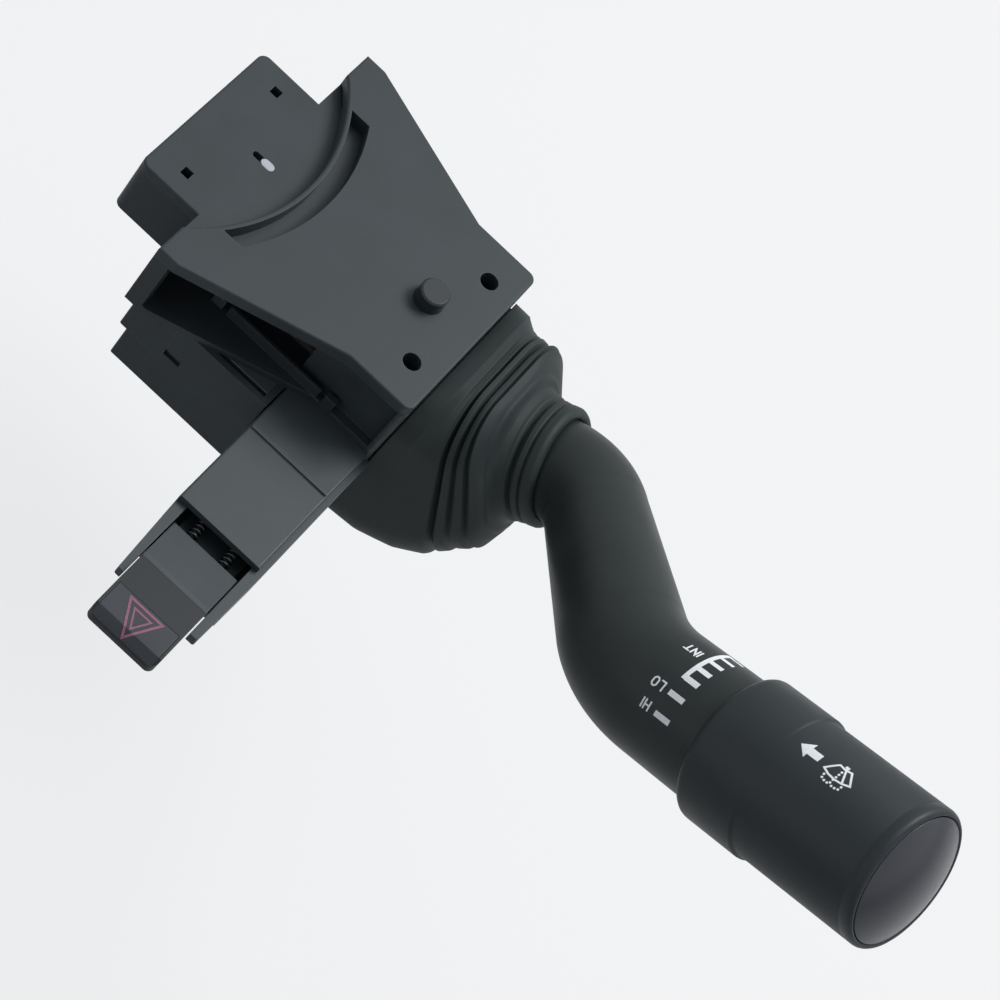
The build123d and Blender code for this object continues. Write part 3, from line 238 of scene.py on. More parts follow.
# The key stands on the right, the top lamp draws the upper edges and the fill opens the left side
key_way = view_right * 0.95 + view_up * 0.45 + view_back * 0.35
top_way = Vector((0.1, 0.4, 1.0))
fill_way = view_right * -0.9 + view_back * 0.6
key = softbox("key_softbox", key_way, distance=0.9, size=0.4, power=5.5)
top = softbox("top_softbox", top_way, distance=0.9, size=0.8, power=2.8)
fill = softbox("fill_softbox", fill_way, distance=1.0, size=0.8, power=1.1)
bpy.context.scene.view_settings.view_transform = "Standard"
print("floor at", FLOOR_Z, "m, lamps:", key.name, top.name, fill.name)


# %% [markdown]
# ## Moulded plastic
# The housing and the lever are injection moulded in black ABS and nylon. The tool's fine spark
# texture gives a soft sheen and no mirror, handling leaves it a little cloudy, and sharp edges get
# scuffed. So the material has three parts: a cloudy colour, a roughness that follows it, and a fine
# bump. The Bevel node rounds edges that are sharp in the mesh, and the difference between its
# normal and the true one marks the edge for a lighter colour: partly scuffing, partly a painted highlight.

# %% Moulded plastic material
# Handling clouds the plastic in patches about as wide as a fingertip
CLOUD_MM = 14


def moulded(
    name, body, cloud, worn_and_highlit, rough, grain_mm=0.45, grain_deep=0.02, edge_mm=0.25, wear_and_highlight=0.5, sheen=0.22
):
    """Moulded plastic: colours, edge scuffs and painted highlight, roughness, grain and edges in mm."""
    material, tree = blank_material(name)
    place = node(tree, "ShaderNodeTexCoord").outputs["Object"]
    clouds = node(tree, "ShaderNodeTexNoise", {"Vector": place, "Scale": 1 / (CLOUD_MM * MM), "Detail": 5.0})
    # A real spark texture is near 0.1 mm wide. It is drawn coarser here, or it wouldn't show
    pits = node(tree, "ShaderNodeTexNoise", {"Vector": place, "Scale": 1 / (grain_mm * MM), "Detail": 3.0})
    tint = node(
        tree,
        "ShaderNodeMapRange",
        {"Value": clouds.outputs["Fac"], "From Min": 0.35, "From Max": 0.7},
    )
    colour = node(
        tree,
        "ShaderNodeMix",
        {"Factor": tint.outputs[0], "A": shade(body), "B": shade(cloud)},
        data_type="RGBA",
    )
    soft_edge = node(tree, "ShaderNodeBevel", {"Radius": edge_mm * MM}, samples=6)
    true_normal = node(tree, "ShaderNodeNewGeometry").outputs["Normal"]
    aligned = node(
        tree,
        "ShaderNodeVectorMath",
        {0: soft_edge.outputs[0], 1: true_normal},
        operation="DOT_PRODUCT",
    )
    # Edges lighter here: partly scuffing, partly a painted edge highlight
    edge = node(
        tree,
        "ShaderNodeMapRange",
        {"Value": aligned.outputs["Value"], "From Min": 0.99, "From Max": 0.8, "To Max": wear_and_highlight},
    )
    rubbed_and_highlit = node(
        tree,
        "ShaderNodeMix",
        {"Factor": edge.outputs[0], "A": colour.outputs["Result"], "B": shade(worn_and_highlit)},
        data_type="RGBA",
    )
    roughness = node(
        tree,
        "ShaderNodeMapRange",
        {
            "Value": clouds.outputs["Fac"],
            "From Min": 0.3,
            "From Max": 0.7,
            "To Min": rough[0],
            "To Max": rough[1],
        },
    )
    relief = node(
        tree,
        "ShaderNodeBump",
        {
            "Height": pits.outputs["Fac"],
            "Distance": grain_deep * MM,
            "Strength": 1.0,
            "Normal": soft_edge.outputs[0],
        },
    )
    shader = node(
        tree,
        "ShaderNodeBsdfPrincipled",
        {
            "Base Color": rubbed_and_highlit.outputs["Result"],
            "Roughness": roughness.outputs[0],
            "Normal": relief.outputs[0],
            "IOR": 1.5,
            "Specular IOR Level": sheen,
        },
    )
    node(tree, "ShaderNodeOutputMaterial", {"Surface": shader.outputs[0]})
    return material


# Cover: smooth but clouded by handling, so its big flat face isn't one even grey
cover_abs = moulded("cover_black_abs", "343B3E", "3A4144", "747C80", (0.42, 0.52))
# Housing: the same plastic with a duller tool texture, painted darker as shade on the deeper pieces
housing_shaded_abs = moulded("housing_black_abs", "30363A", "353C3F", "626A6D", (0.45, 0.56))
# Arm: satin, because the arm is handled least and keeps its sheen; its lighter grey is painted sheen
arm_painted_sheen_abs = moulded("arm_satin_abs", "3E4548", "444B4E", "7C8488", (0.34, 0.44))
# Lens: a touch bluer and smoother than the arm round it
lens_abs = moulded("hazard_lens_plastic", "33383D", "383D43", "5C636A", (0.28, 0.36), 0.8, 0.008)
# Lever and knob: darker nylon with a finer grain that breaks the long highlight
lever_nylon = moulded("lever_soft_nylon", "242A2B", "292F30", "465050", (0.38, 0.46), 0.6, 0.015, wear_and_highlight=0.3)
knob_nylon = moulded("knob_soft_nylon", "282E30", "2D3335", "465050", (0.40, 0.48), 0.6, 0.015, wear_and_highlight=0.3)
# Button: the smoothest plastic here, so the dome shows a clear bright side
button_grey = moulded(
    "button_smooth_abs", "30333A", "353840", "585C66", (0.26, 0.34), 0.5, 0.008, wear_and_highlight=0.3, sheen=0.4
)
# Pin: turned acetal, glossier than the cover, so its round end stands out from it
pin_black = moulded("pin_black_acetal", "2E3436", "33393C", "747C80", (0.28, 0.38), 0.8, 0.01)
# Carrier: uncoloured nylon, which is ivory and dull, so inner pieces part from the black walls
nylon = moulded("natural_nylon", "B9B8AE", "C4C3B9", "DAD9D0", (0.40, 0.50), 0.6, 0.02)
# Clips: greyer and a little glossier than the nylon beside them
pale_acetal = moulded("pale_acetal", "9A9A96", "A5A5A1", "C0C0BC", (0.35, 0.45), 0.6, 0.015)
# Sight insert: a cool pale grey, the one light spot on the cap
sight_acetal = moulded("sight_insert_acetal", "B4B8C2", "BCC0CA", "D2D5DC", (0.30, 0.40), 0.6, 0.01)
# Boards: dark laminate, painted paler than the walls as light falling into the window
laminate = moulded("dark_laminate_painted_light", "565B59", "646A67", "7A807D", (0.45, 0.60), 0.3, 0.03)
# Button cap: darker than the arm, so the lens and its triangle stand in a dark frame
cap_abs = moulded("hazard_cap_abs", "22262A", "282C30", "50575B", (0.36, 0.46))
# Contact deck: paler cloud and edges, a painted highlight on its snap hooks inside the window
deck_highlit_abs = moulded("contact_deck_abs", "3C4346", "4A5255", "98A0A4", (0.36, 0.48), wear_and_highlight=0.8)
print("moulded plastics:", cover_abs.name, housing_shaded_abs.name, lever_nylon.name)

# %% [markdown]
# ## Rubber, metal and print
# The boot is moulded EPDM rubber: dull, with a faint bloom. Springs and screws are plated steel,
# and contacts are copper alloy. Marks are pad printed in white, and the hazard lens has red lines.

# %% Rubber, metal and print materials
# Rubber: duller than any plastic here, with a faint bloom that makes the pleats read as soft
rubber = moulded("boot_epdm_rubber", "272E2E", "2F3637", "485152", (0.52, 0.66), 0.35, 0.03, 0.15, 0.35)
# A drawing line is about twelve times as long as it is wide
LINE_STRETCH = 0.08


def metal(name, bright, dull, rough, brushing_mm):
    """Plated or drawn metal with drawing lines along Z, coarser than real ones so that they show."""
    material, tree = blank_material(name)
    place = node(tree, "ShaderNodeTexCoord").outputs["Object"]
    lines = node(tree, "ShaderNodeMapping", {"Vector": place, "Scale": (1.0, 1.0, LINE_STRETCH)})
    streaks = node(
        tree,
        "ShaderNodeTexNoise",
        {"Vector": lines.outputs[0], "Scale": 1 / (brushing_mm * MM), "Detail": 3.0},
    )
    colour = node(
        tree,
        "ShaderNodeMix",
        {"Factor": streaks.outputs["Fac"], "A": shade(dull), "B": shade(bright)},
        data_type="RGBA",
    )
    roughness = node(
        tree,
        "ShaderNodeMapRange",
        {"Value": streaks.outputs["Fac"], "To Min": rough[0], "To Max": rough[1]},
    )
    shader = node(
        tree,
        "ShaderNodeBsdfPrincipled",
        {
            "Base Color": colour.outputs["Result"],
            "Roughness": roughness.outputs[0],
            "Metallic": 1.0,
        },
    )
    node(tree, "ShaderNodeOutputMaterial", {"Surface": shader.outputs[0]})
    return material


# Zinc plate: cool and bright with soft streaks, which tells a screw from the plastic round it
zinc_steel = metal("zinc_plated_steel", "B9BBBE", "8E9195", (0.28, 0.45), 0.4)
# Spring wire: darker than zinc, with a narrow highlight along each turn
spring_steel = metal("drawn_spring_steel", "9B9DA1", "6F7276", (0.25, 0.40), 0.3)
# Hazard springs: wire painted dark as the shade of their recess, so only highlights show the coils
recess_shade_wire = metal("hazard_spring_painted_shade", "45484B", "292B2D", (0.35, 0.50), 0.3)
# Contacts: copper alloy, the one warm colour on the part
copper = metal("contact_copper", "C98B5E", "9C6540", (0.25, 0.42), 0.5)
# The ink thins in small specks, finer than the grain below it
SPECK_MM = 0.25


def printed(name, ink, thin, rough=0.5):
    """Pad printed ink, a little thin where the texture below breaks it."""
    material, tree = blank_material(name)
    place = node(tree, "ShaderNodeTexCoord").outputs["Object"]
    specks = node(tree, "ShaderNodeTexNoise", {"Vector": place, "Scale": 1 / (SPECK_MM * MM), "Detail": 3.0})
    patch = node(
        tree,
        "ShaderNodeMapRange",
        {"Value": specks.outputs["Fac"], "From Min": 0.3, "From Max": 0.55},
    )
    colour = node(
        tree,
        "ShaderNodeMix",
        {"Factor": patch.outputs[0], "A": shade(thin), "B": shade(ink)},
        data_type="RGBA",
    )
    shader = node(
        tree,
        "ShaderNodeBsdfPrincipled",
        {"Base Color": colour.outputs["Result"], "Roughness": rough, "Specular IOR Level": 0.3},
    )
    node(tree, "ShaderNodeOutputMaterial", {"Surface": shader.outputs[0]})
    return material


# White ink: nearly full white and dull, so the marks are crisp on black and never glare
white_ink = printed("white_pad_print", "F6F8FB", "E0E4EA")
# Hazard ink: a faded red that leans to mauve, so the triangle reads as old print on the lens
red_ink = printed("hazard_red_print", "96607A", "7A4C64")
print("other finishes:", rubber.name, zinc_steel.name, copper.name, white_ink.name)

# %% [markdown]
# ## Finishes on the rigid pieces
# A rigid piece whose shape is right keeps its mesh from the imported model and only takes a
# material. The record's own slot names say which finish each one has.

# %% Dress the rigid pieces
finish = {
    "cover_plastic": cover_abs,
    "housing_plastic": housing_shaded_abs,
    "arm_plastic": arm_painted_sheen_abs,
    "lever_plastic": lever_nylon,
    "button_plastic": button_grey,
    "boot_rubber": rubber,
    "lens_plastic": lens_abs,
    "carrier_nylon": nylon,
    "board_laminate": laminate,
    "clip_plastic": pale_acetal,
    "copper": copper,
    "steel": zinc_steel,
    "spring_steel": spring_steel,
    "pin_black": pin_black,
    "lead_black": rubber,
}
for entry in frame["record"]["subparts"]:
    piece = cad[entry["node"]]
    piece.data.materials.clear()
    piece.data.materials.append(finish[entry["material_slot"]])
# Two pieces look different from others in their slot; the contact deck's carries a painted highlight
for name, own in (("hazard_cap", cap_abs), ("contact_deck", deck_highlit_abs)):
    cad[name].data.materials[0] = own

# %% [markdown]
# ## Springs
# A spring is the one rigid-looking piece that changes its shape when a button moves. Here the
# coils are copies that ride on the hazard button and the knob, and the pawl's leaf is cut across
# its length. All three keep the imported model's shape.


# %% Spring helpers
def taken_over(name, material):
    """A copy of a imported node's mesh as a piece of its own that stands in for that node."""
    mesh = cad[name].data.copy()
    mesh.materials.clear()
    mesh.materials.append(material)
    piece = bpy.data.objects.new(name + "_live", mesh)
    bpy.context.scene.collection.objects.link(piece)
    return piece


def squashed(name, body, axis, material):
    """A coil as a piece of its own that rides on a body, in its imported shape."""
    piece = taken_over(name, material)
    seat = min((point.co for point in piece.data.vertices), key=lambda place: place.dot(axis)).copy()
    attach(piece, body)
    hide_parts(name)
    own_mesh(piece)
    return piece


# %% Coil springs
arm_axis = Vector((0.0, 1.0, 0.0))
push_axis = Vector(joints["washer_push"]["axis"]).normalized()
squashed("hazard_springs", "hazard_button", arm_axis, recess_shade_wire)
squashed("washer_spring", "wiper_knob", -push_axis, spring_steel)

# %% Pawl leaf
# The leaf runs towards -X and is cut across every half millimetre from 14 mm on
LEAF_CUTS, CUT_START, CUT_STEP = 18, -14.0, 0.5
leaf = taken_over("pawl_spring", spring_steel)
shape = bmesh.new()
shape.from_mesh(leaf.data)
for cut in range(1, LEAF_CUTS + 1):
    bmesh.ops.bisect_plane(
        shape,
        geom=shape.verts[:] + shape.edges[:] + shape.faces[:],
        plane_co=((CUT_START - CUT_STEP * cut) * MM, 0.0, 0.0),
        plane_no=(1.0, 0.0, 0.0),
    )
shape.to_mesh(leaf.data)
shape.free()
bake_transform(leaf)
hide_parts("pawl_spring")
print("leaf has", len(leaf.data.polygons), "faces after the cuts")

# %% [markdown]
# ## Sight insert
# The block's cap has a short slot, and a pale insert sits in the end of it that faces the pin. Its
# head is a little wider than the slot and stands a hair above the cap, and a narrower stem goes
# down the slot. A bevelled box could do for it, but its ends are fully round, and a stack of
# pill-shaped rings, closed at both ends, gives them straight away.


# %% Sight insert
def pill(middle, length, width, z, steps=12):
    """A ring in the shape of a pill that lies along X."""
    ring = []
    reach = (length - width) / 2
    for end, first in ((1, -90), (-1, 90)):
        for step in range(steps + 1):
            angle = math.radians(first + 180 * step / steps)
            x = middle[0] + end * reach + width / 2 * math.cos(angle)
            ring.append(Vector((x, middle[1] + width / 2 * math.sin(angle), z)) * MM)
    return ring


HEAD_MIDDLE, STEM_MIDDLE = (-49.5, 0.0), (-49.9, 0.0)
# From the head's top down to the stem's foot: middle, length, width and height
insert_outline = [
    (HEAD_MIDDLE, 3.0, 1.8, -3.93),
    (HEAD_MIDDLE, 3.3, 2.1, -3.965),
    (HEAD_MIDDLE, 3.3, 2.1, -3.995),
    (STEM_MIDDLE, 2.6, 1.4, -3.995),
    (STEM_MIDDLE, 2.6, 1.4, -6.0),
]
layers = [pill(*ring) for ring in insert_outline]
count = len(layers[0])
points = [point for layer in layers for point in layer]
faces = ring_faces(len(layers), count, False)
faces += [tuple(range(count)), tuple(reversed(range(len(points) - count, len(points))))]
insert = outward(shown("sight_insert", points, faces, sight_acetal, smooth=False))
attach(insert, "housing")
print("sight insert:", len(insert.data.polygons), "faces")

# %% [markdown]
# ## Lever
# The lever is one nylon moulding with a round section that swells as it goes out: it leaves the
# boot, turns down towards the driver, and bends back level with the knob. A shape that follows a
# path by a rule suits Geometry Nodes. Four route points carry the size of the bend at each, the
# Fillet Curve node rounds them, and a radius that grows along the length sweeps a circle along.
# The tree's inputs are the same sizes that a designer would change.

# %% Lever route
NECK = Vector((37.4, 0.0, -10.9)) * MM
NECK_TILT = math.radians(31.9)
neck_axis = Vector((math.cos(NECK_TILT), 0.0, math.sin(NECK_TILT)))
towards_arm = Vector((0.0, -1.0, 0.0))


def in_lever_plane(along, aside):
    """A point of the lever's own plane, in mm along the neck and aside towards the arm."""
    return NECK + (neck_axis * along + towards_arm * aside) * MM


START_MM, FIRST_CORNER_MM = -12.0, 7.05
FIRST_BEND_MM, FIRST_TURN = 22.0, math.radians(50.6)
SECOND_BEND_MM, SECOND_TURN = 30.0, math.radians(34.8)
MIDDLE_MM, OUTER_MM, OUTER_GROWTH_MM = 53.8, 28.2, 0.2
first_corner = Vector((FIRST_CORNER_MM, 0.0))
middle_way = Vector((math.cos(FIRST_TURN), math.sin(FIRST_TURN)))
second_corner = first_corner + MIDDLE_MM * middle_way
outer_turn = FIRST_TURN - SECOND_TURN
lever_end = second_corner + OUTER_MM * Vector((math.cos(outer_turn), math.sin(outer_turn)))
route = [(START_MM, 0.0), tuple(first_corner), tuple(second_corner), tuple(lever_end)]
bend_sizes = [0.0, FIRST_BEND_MM, SECOND_BEND_MM, 0.0]
first_cut = FIRST_BEND_MM * math.tan(FIRST_TURN / 2)
second_cut = SECOND_BEND_MM * math.tan(SECOND_TURN / 2)
# Each stretch of the lever: its length, and how much its radius grows along it
spans = {
    "root": (first_corner.x - START_MM - first_cut, 0.0),
    "first bend": (FIRST_BEND_MM * FIRST_TURN, 0.1),
    "middle": (MIDDLE_MM - first_cut - second_cut, 2.15),
    "second bend": (SECOND_BEND_MM * SECOND_TURN, 0.45),
    "outer": (OUTER_MM - second_cut, OUTER_GROWTH_MM),
}
print("lever is", round(sum(length for length, _ in spans.values()), 1), "mm along its middle")

# %% [markdown]
# ## Growing a mesh
# Every tree here starts and ends in the same way: named inputs for its sizes at the start, and real
# geometry with a material at the end, because the export drops instances. The tree is run once on
# a few seed points and its result is kept as a plain mesh, so nothing is left to work out later.


# %% Geometry Nodes helpers
def geometry_tree(name, sizes):
    """An empty Geometry Nodes tree with named inputs, and its input and output nodes."""
    made = bpy.data.node_groups.new(name, "GeometryNodeTree")
    made.interface.new_socket("Geometry", in_out="INPUT", socket_type="NodeSocketGeometry")
    for label, kind in sizes.items():
        made.interface.new_socket(label, in_out="INPUT", socket_type="NodeSocket" + kind)
    made.interface.new_socket("Geometry", in_out="OUTPUT", socket_type="NodeSocketGeometry")
    return made, node(made, "NodeGroupInput")


def finish_tree(tree, shape, material):
    """The tree's last steps: real geometry in place of instances, and its material."""
    solid = node(tree, "GeometryNodeRealizeInstances", {"Geometry": shape})
    painted = node(tree, "GeometryNodeSetMaterial", {"Geometry": solid.outputs[0], "Material": material})
    node(tree, "NodeGroupOutput", {"Geometry": painted.outputs[0]})


def settled(piece):
    """A plain mesh of a piece as its modifiers leave it."""
    bpy.context.view_layer.update()
    ready = piece.evaluated_get(bpy.context.evaluated_depsgraph_get())
    return bpy.data.meshes.new_from_object(ready)


def grown(name, points, edges, tree, values, numbers=None):
    """Runs a tree on points and edges and gives back its result as a plain mesh object."""
    seed = bpy.data.meshes.new(name + "_seed")
    seed.from_pydata([tuple(point) for point in points], edges, [])
    for label, listed in (numbers or {}).items():
        seed.attributes.new(label, "FLOAT", "POINT").data.foreach_set("value", listed)
    carrier = bpy.data.objects.new(name + "_seed", seed)
    step = carrier.modifiers.new("tree", "NODES")
    step.node_group = tree
    sockets = {item.name: item for item in tree.interface.items_tree if item.in_out == "INPUT"}
    for label, value in values.items():
        step[sockets[label].identifier] = value
    bpy.context.scene.collection.objects.link(carrier)
    piece = bpy.data.objects.new(name, settled(carrier))
    piece.data.name = name
    bpy.context.scene.collection.objects.link(piece)
    bpy.data.objects.remove(carrier)
    bpy.data.meshes.remove(seed)
    return piece


print("helpers ready for Geometry Nodes")

# %% Lever tree
# Rings along the lever stand this close, so the long highlight runs without a step
RING_PITCH_MM = 0.6
lever_sizes = {"Root Radius": "Float", "Sides": "Int", "Bend Steps": "Int", "Finish": "Material"}
for span in spans:
    lever_sizes[span.title() + " Length"] = "Float"
    lever_sizes[span.title() + " Growth"] = "Float"
tree, start = geometry_tree("bent_lever", lever_sizes)
line = node(tree, "GeometryNodeMeshToCurve", {"Mesh": start.outputs["Geometry"]})
bend = node(tree, "GeometryNodeInputNamedAttribute", {"Name": "bend_radius"})
rounded_line = node(
    tree,
    "GeometryNodeFilletCurve",
    {
        "Curve": line.outputs[0],
        "Count": start.outputs["Bend Steps"],
        "Radius": bend.outputs["Attribute"],
    },
    mode="POLY",
)
even_line = node(
    tree,
    "GeometryNodeResampleCurve",
    {"Curve": rounded_line.outputs[0], "Length": RING_PITCH_MM * MM},
    mode="LENGTH",
)
travelled = node(tree, "GeometryNodeSplineParameter").outputs["Length"]
reached = 0.0
radius = start.outputs["Root Radius"]
for span in spans:
    begins = reached
    length = start.outputs[span.title() + " Length"]
    ends = node(tree, "ShaderNodeMath", {0: begins, 1: length}, operation="ADD").outputs[0]
    grows = node(
        tree,
        "ShaderNodeMapRange",
        {
            "Value": travelled,
            "From Min": begins,
            "From Max": ends,
            "To Min": 0.0,
            "To Max": start.outputs[span.title() + " Growth"],
        },
    )
    radius = node(tree, "ShaderNodeMath", {0: radius, 1: grows.outputs[0]}, operation="ADD").outputs[0]
    reached = ends
ring = node(tree, "GeometryNodeCurvePrimitiveCircle", {"Resolution": start.outputs["Sides"], "Radius": 1.0})
tube = node(
    tree,
    "GeometryNodeCurveToMesh",
    {"Curve": even_line.outputs[0], "Profile Curve": ring.outputs[0], "Scale": radius},
)
smooth = node(tree, "GeometryNodeSetShadeSmooth", {"Geometry": tube.outputs[0], "Shade Smooth": True})
finish_tree(tree, smooth.outputs[0], start.outputs["Finish"])
print("lever tree has", len(tree.nodes), "nodes")

# %% Lever
ROOT_R_MM, LEVER_WALL_MM = 10.9, 2.2
sizes = {"Root Radius": ROOT_R_MM * MM, "Sides": 128, "Bend Steps": 24, "Finish": lever_nylon}
for span, (length, growth) in spans.items():
    sizes[span.title() + " Length"] = length * MM
    sizes[span.title() + " Growth"] = growth * MM
lever = grown(
    "lever_stalk",
    [in_lever_plane(*point) for point in route],
    [(0, 1), (1, 2), (2, 3)],
    tree,
    sizes,
    {"bend_radius": [size * MM for size in bend_sizes]},
)
outward(lever)
wall = lever.modifiers.new("wall", "SOLIDIFY")
wall.thickness = LEVER_WALL_MM * MM
wall.offset = -1.0
walled = settled(lever)
lever.modifiers.clear()
lever.data = walled
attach(lever, "lever")
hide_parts("stalk")
print("lever mesh:", len(lever.data.polygons), "faces, with a wall of", LEVER_WALL_MM, "mm")

# %% [markdown]
# ## Boot
# The boot is a rubber bellows: a wide shoulder stretched over the housing's front, two thin pleats,
# a broad one, and a round neck that grips the lever. Each cross section is a rounded rectangle that
# turns into a circle, so the mesh is a stack of such rings. The stations below give the ring at the
# places where the outline changes, the rings between are worked out from them, and each groove is a
# narrow dip that presses the rings in. The boot is two pieces, split in the bottom of the first
# groove.

# %% Boot rings
RING_POINTS = 168
FIRST_GROOVE = -17.9


def edge_reach(across, up, half_width, half_height, corner):
    """How far a rounded rectangle's edge is from its middle, along a direction."""
    corner = min(corner, half_width - 0.02, half_height - 0.02)
    inner_width, inner_height = half_width - corner, half_height - corner
    across, up = abs(across), abs(up)
    reach = min(half_width / max(across, 1e-6), half_height / max(up, 1e-6))
    if reach * across > inner_width and reach * up > inner_height:
        near = across * inner_width + up * inner_height
        reach = near + math.sqrt(near**2 - inner_width**2 - inner_height**2 + corner**2)
    return reach


def boot_ring(station, sink=0.0):
    """The points of one ring, in metres, pressed in by sink millimetres."""
    x, z, tilt, near, far, over, under, corner, skew = station
    lean = math.radians(tilt)
    up = Vector((-math.sin(lean), 0.0, math.cos(lean)))
    points = []
    for at in range(RING_POINTS):
        angle = 2 * math.pi * at / RING_POINTS
        across, rise = math.cos(angle), math.sin(angle)
        half_width = (far if across > 0 else near) - sink
        half_height = (over if rise > 0 else under) - sink
        reach = edge_reach(across, rise, half_width, half_height, corner - 0.5 * sink)
        point = Vector((x, 0.0, z)) + up * (reach * rise) + Vector((0.0, reach * across, 0.0))
        point += neck_axis * skew * max(0.0, across) * reach
        points.append(point * MM)
    return points


# Shoulder stations: x, z, tilt, near and far half widths, height over and under, corner, skew
shoulder = [
    (7.2, -27.8, 0.0, 22.8, 22.8, 25.6, 25.6, 10.5, 0.0),
    (12.9, -27.8, 4.0, 21.9, 21.9, 27.6, 27.0, 12.0, 0.0),
    (13.6, -27.6, 5.5, 21.8, 21.8, 27.4, 27.0, 12.2, 0.0),
    (18.3, -26.0, 13.0, 21.0, 21.0, 25.4, 26.6, 12.8, 0.0),
    (21.9, -23.4, 20.0, 20.4, 20.4, 24.1, 25.3, 13.5, 0.0),
]
# Neck stations: place along the neck, tilt, lift, then as above
neck = [
    (FIRST_GROOVE, 21.4, -1.8, 20.1, 20.1, 23.7, 24.2, 13.2, 0.0),
    (-17.1, 22.3, -1.7, 20.0, 20.0, 23.5, 23.7, 13.4, 0.0),
    (-15.4, 24.0, -1.3, 19.9, 19.4, 22.6, 22.3, 12.9, 0.0),
    (-13.7, 25.8, -0.9, 19.7, 18.8, 21.6, 20.7, 12.6, 0.0),
    (-12.2, 27.8, -0.5, 19.4, 19.2, 21.0, 19.6, 11.4, 0.0),
    (-11.3, 29.0, -0.2, 19.2, 19.0, 20.9, 19.3, 10.6, 0.0),
    (-10.5, 29.5, 0.0, 19.0, 17.9, 20.5, 18.7, 11.0, 0.0),
    (-9.3, 30.0, 0.2, 17.7, 15.6, 19.4, 17.4, 11.6, 0.0),
    (-8.3, 30.4, 0.4, 16.1, 13.3, 18.0, 16.7, 12.0, 0.0),
    (-7.95, 31.2, 0.2, 14.7, 13.2, 15.6, 14.9, 13.1, -0.02),
    (-7.4, 31.9, 0.0, 14.3, 13.5, 14.9, 14.3, 13.4, -0.03),
    (-6.2, 31.9, 0.0, 14.0, 13.9, 14.1, 14.0, 13.8, -0.04),
    (-4.7, 31.9, 0.0, 13.7, 13.7, 13.7, 13.7, 13.6, -0.04),
    (-3.2, 31.9, 0.0, 13.45, 13.45, 13.45, 13.45, 13.4, -0.04),
    (-2.35, 31.9, 0.0, 13.35, 13.35, 13.35, 13.35, 13.3, -0.04),
    (-1.5, 31.9, 0.0, 13.4, 13.4, 13.4, 13.4, 13.3, -0.04),
    (-0.2, 31.9, 0.0, 13.35, 13.35, 13.35, 13.35, 13.3, -0.04),
    (0.4, 31.9, 0.0, 12.95, 12.95, 12.95, 12.95, 12.9, -0.04),
    (0.68, 31.9, 0.0, 12.3, 12.3, 12.3, 12.3, 12.2, -0.04),
]
# Grooves: place along the neck, width and depth
grooves = [
    (FIRST_GROOVE, 1.9, 1.7),
    (-14.55, 1.7, 1.4),
    (-11.35, 1.6, 1.3),
    (-8.55, 0.8, 0.5),
    (-4.65, 1.6, 1.5),
    (-2.3, 0.8, 0.8),
]


def at_neck(station):
    """A neck station with its middle's x and z in place of its place and lift."""
    along, tilt, lift, *rest = station
    lean = math.radians(tilt)
    x = NECK.x / MM + along * neck_axis.x - lift * math.sin(lean)
    z = NECK.z / MM + along * neck_axis.z + lift * math.cos(lean)
    return (x, z, tilt, *rest)


def between(stations, places, place):
    """The station at a place, in line between the two beside it."""
    last = max(at for at in range(len(places) - 1) if places[at] <= place + 1e-9)
    share = (place - places[last]) / (places[last + 1] - places[last])
    return tuple(a + (b - a) * share for a, b in zip(stations[last], stations[last + 1]))


def groove_sink(place):
    """How far the grooves press a ring in: a round-shouldered V at each."""
    sink = 0.0
    for middle, width, depth in grooves:
        away = abs(place - middle) / (width / 2)
        if away < 1:
            sink = max(sink, depth * (1 - away**1.5) ** 1.2)
    return sink


print("boot stations:", len(shoulder), "on the shoulder,", len(neck), "on the neck")


# %% Boot meshes
def boot_piece(name, stations, places, step, inner):
    """A closed rubber shell through the stations, with its inner wall."""
    count = round((places[-1] - places[0]) / step)
    rings = []
    for at in range(count + 1):
        place = places[0] + (places[-1] - places[0]) * at / count
        rings.append(boot_ring(between(stations, places, place), groove_sink(place)))
    for station, sink in inner:
        rings.append(boot_ring(station, sink))
    points = [point for ring in rings for point in ring]
    return outward(shown(name, points, ring_faces(len(rings), RING_POINTS, True), rubber))


# The inner wall lies under the deepest groove, and the fine pleats need closer rings
WALL = 1.4
LINING = WALL + max(depth for _, _, depth in grooves)
SHOULDER_PITCH, PLEAT_PITCH = 0.35, 0.16
neck_stations = [at_neck(station) for station in neck]
neck_places = [station[0] for station in neck]
shoulder_stations = shoulder + [neck_stations[0]]
gaps = [math.dist(a[:2], b[:2]) for a, b in zip(shoulder_stations, shoulder_stations[1:])]
shoulder_places = [FIRST_GROOVE - sum(gaps[at:]) for at in range(len(gaps))] + [FIRST_GROOVE]
shoulder_inner = [(station, LINING) for station in reversed(shoulder_stations)]
boot_shoulder = boot_piece(
    "boot_shoulder", shoulder_stations, shoulder_places, SHOULDER_PITCH, shoulder_inner
)
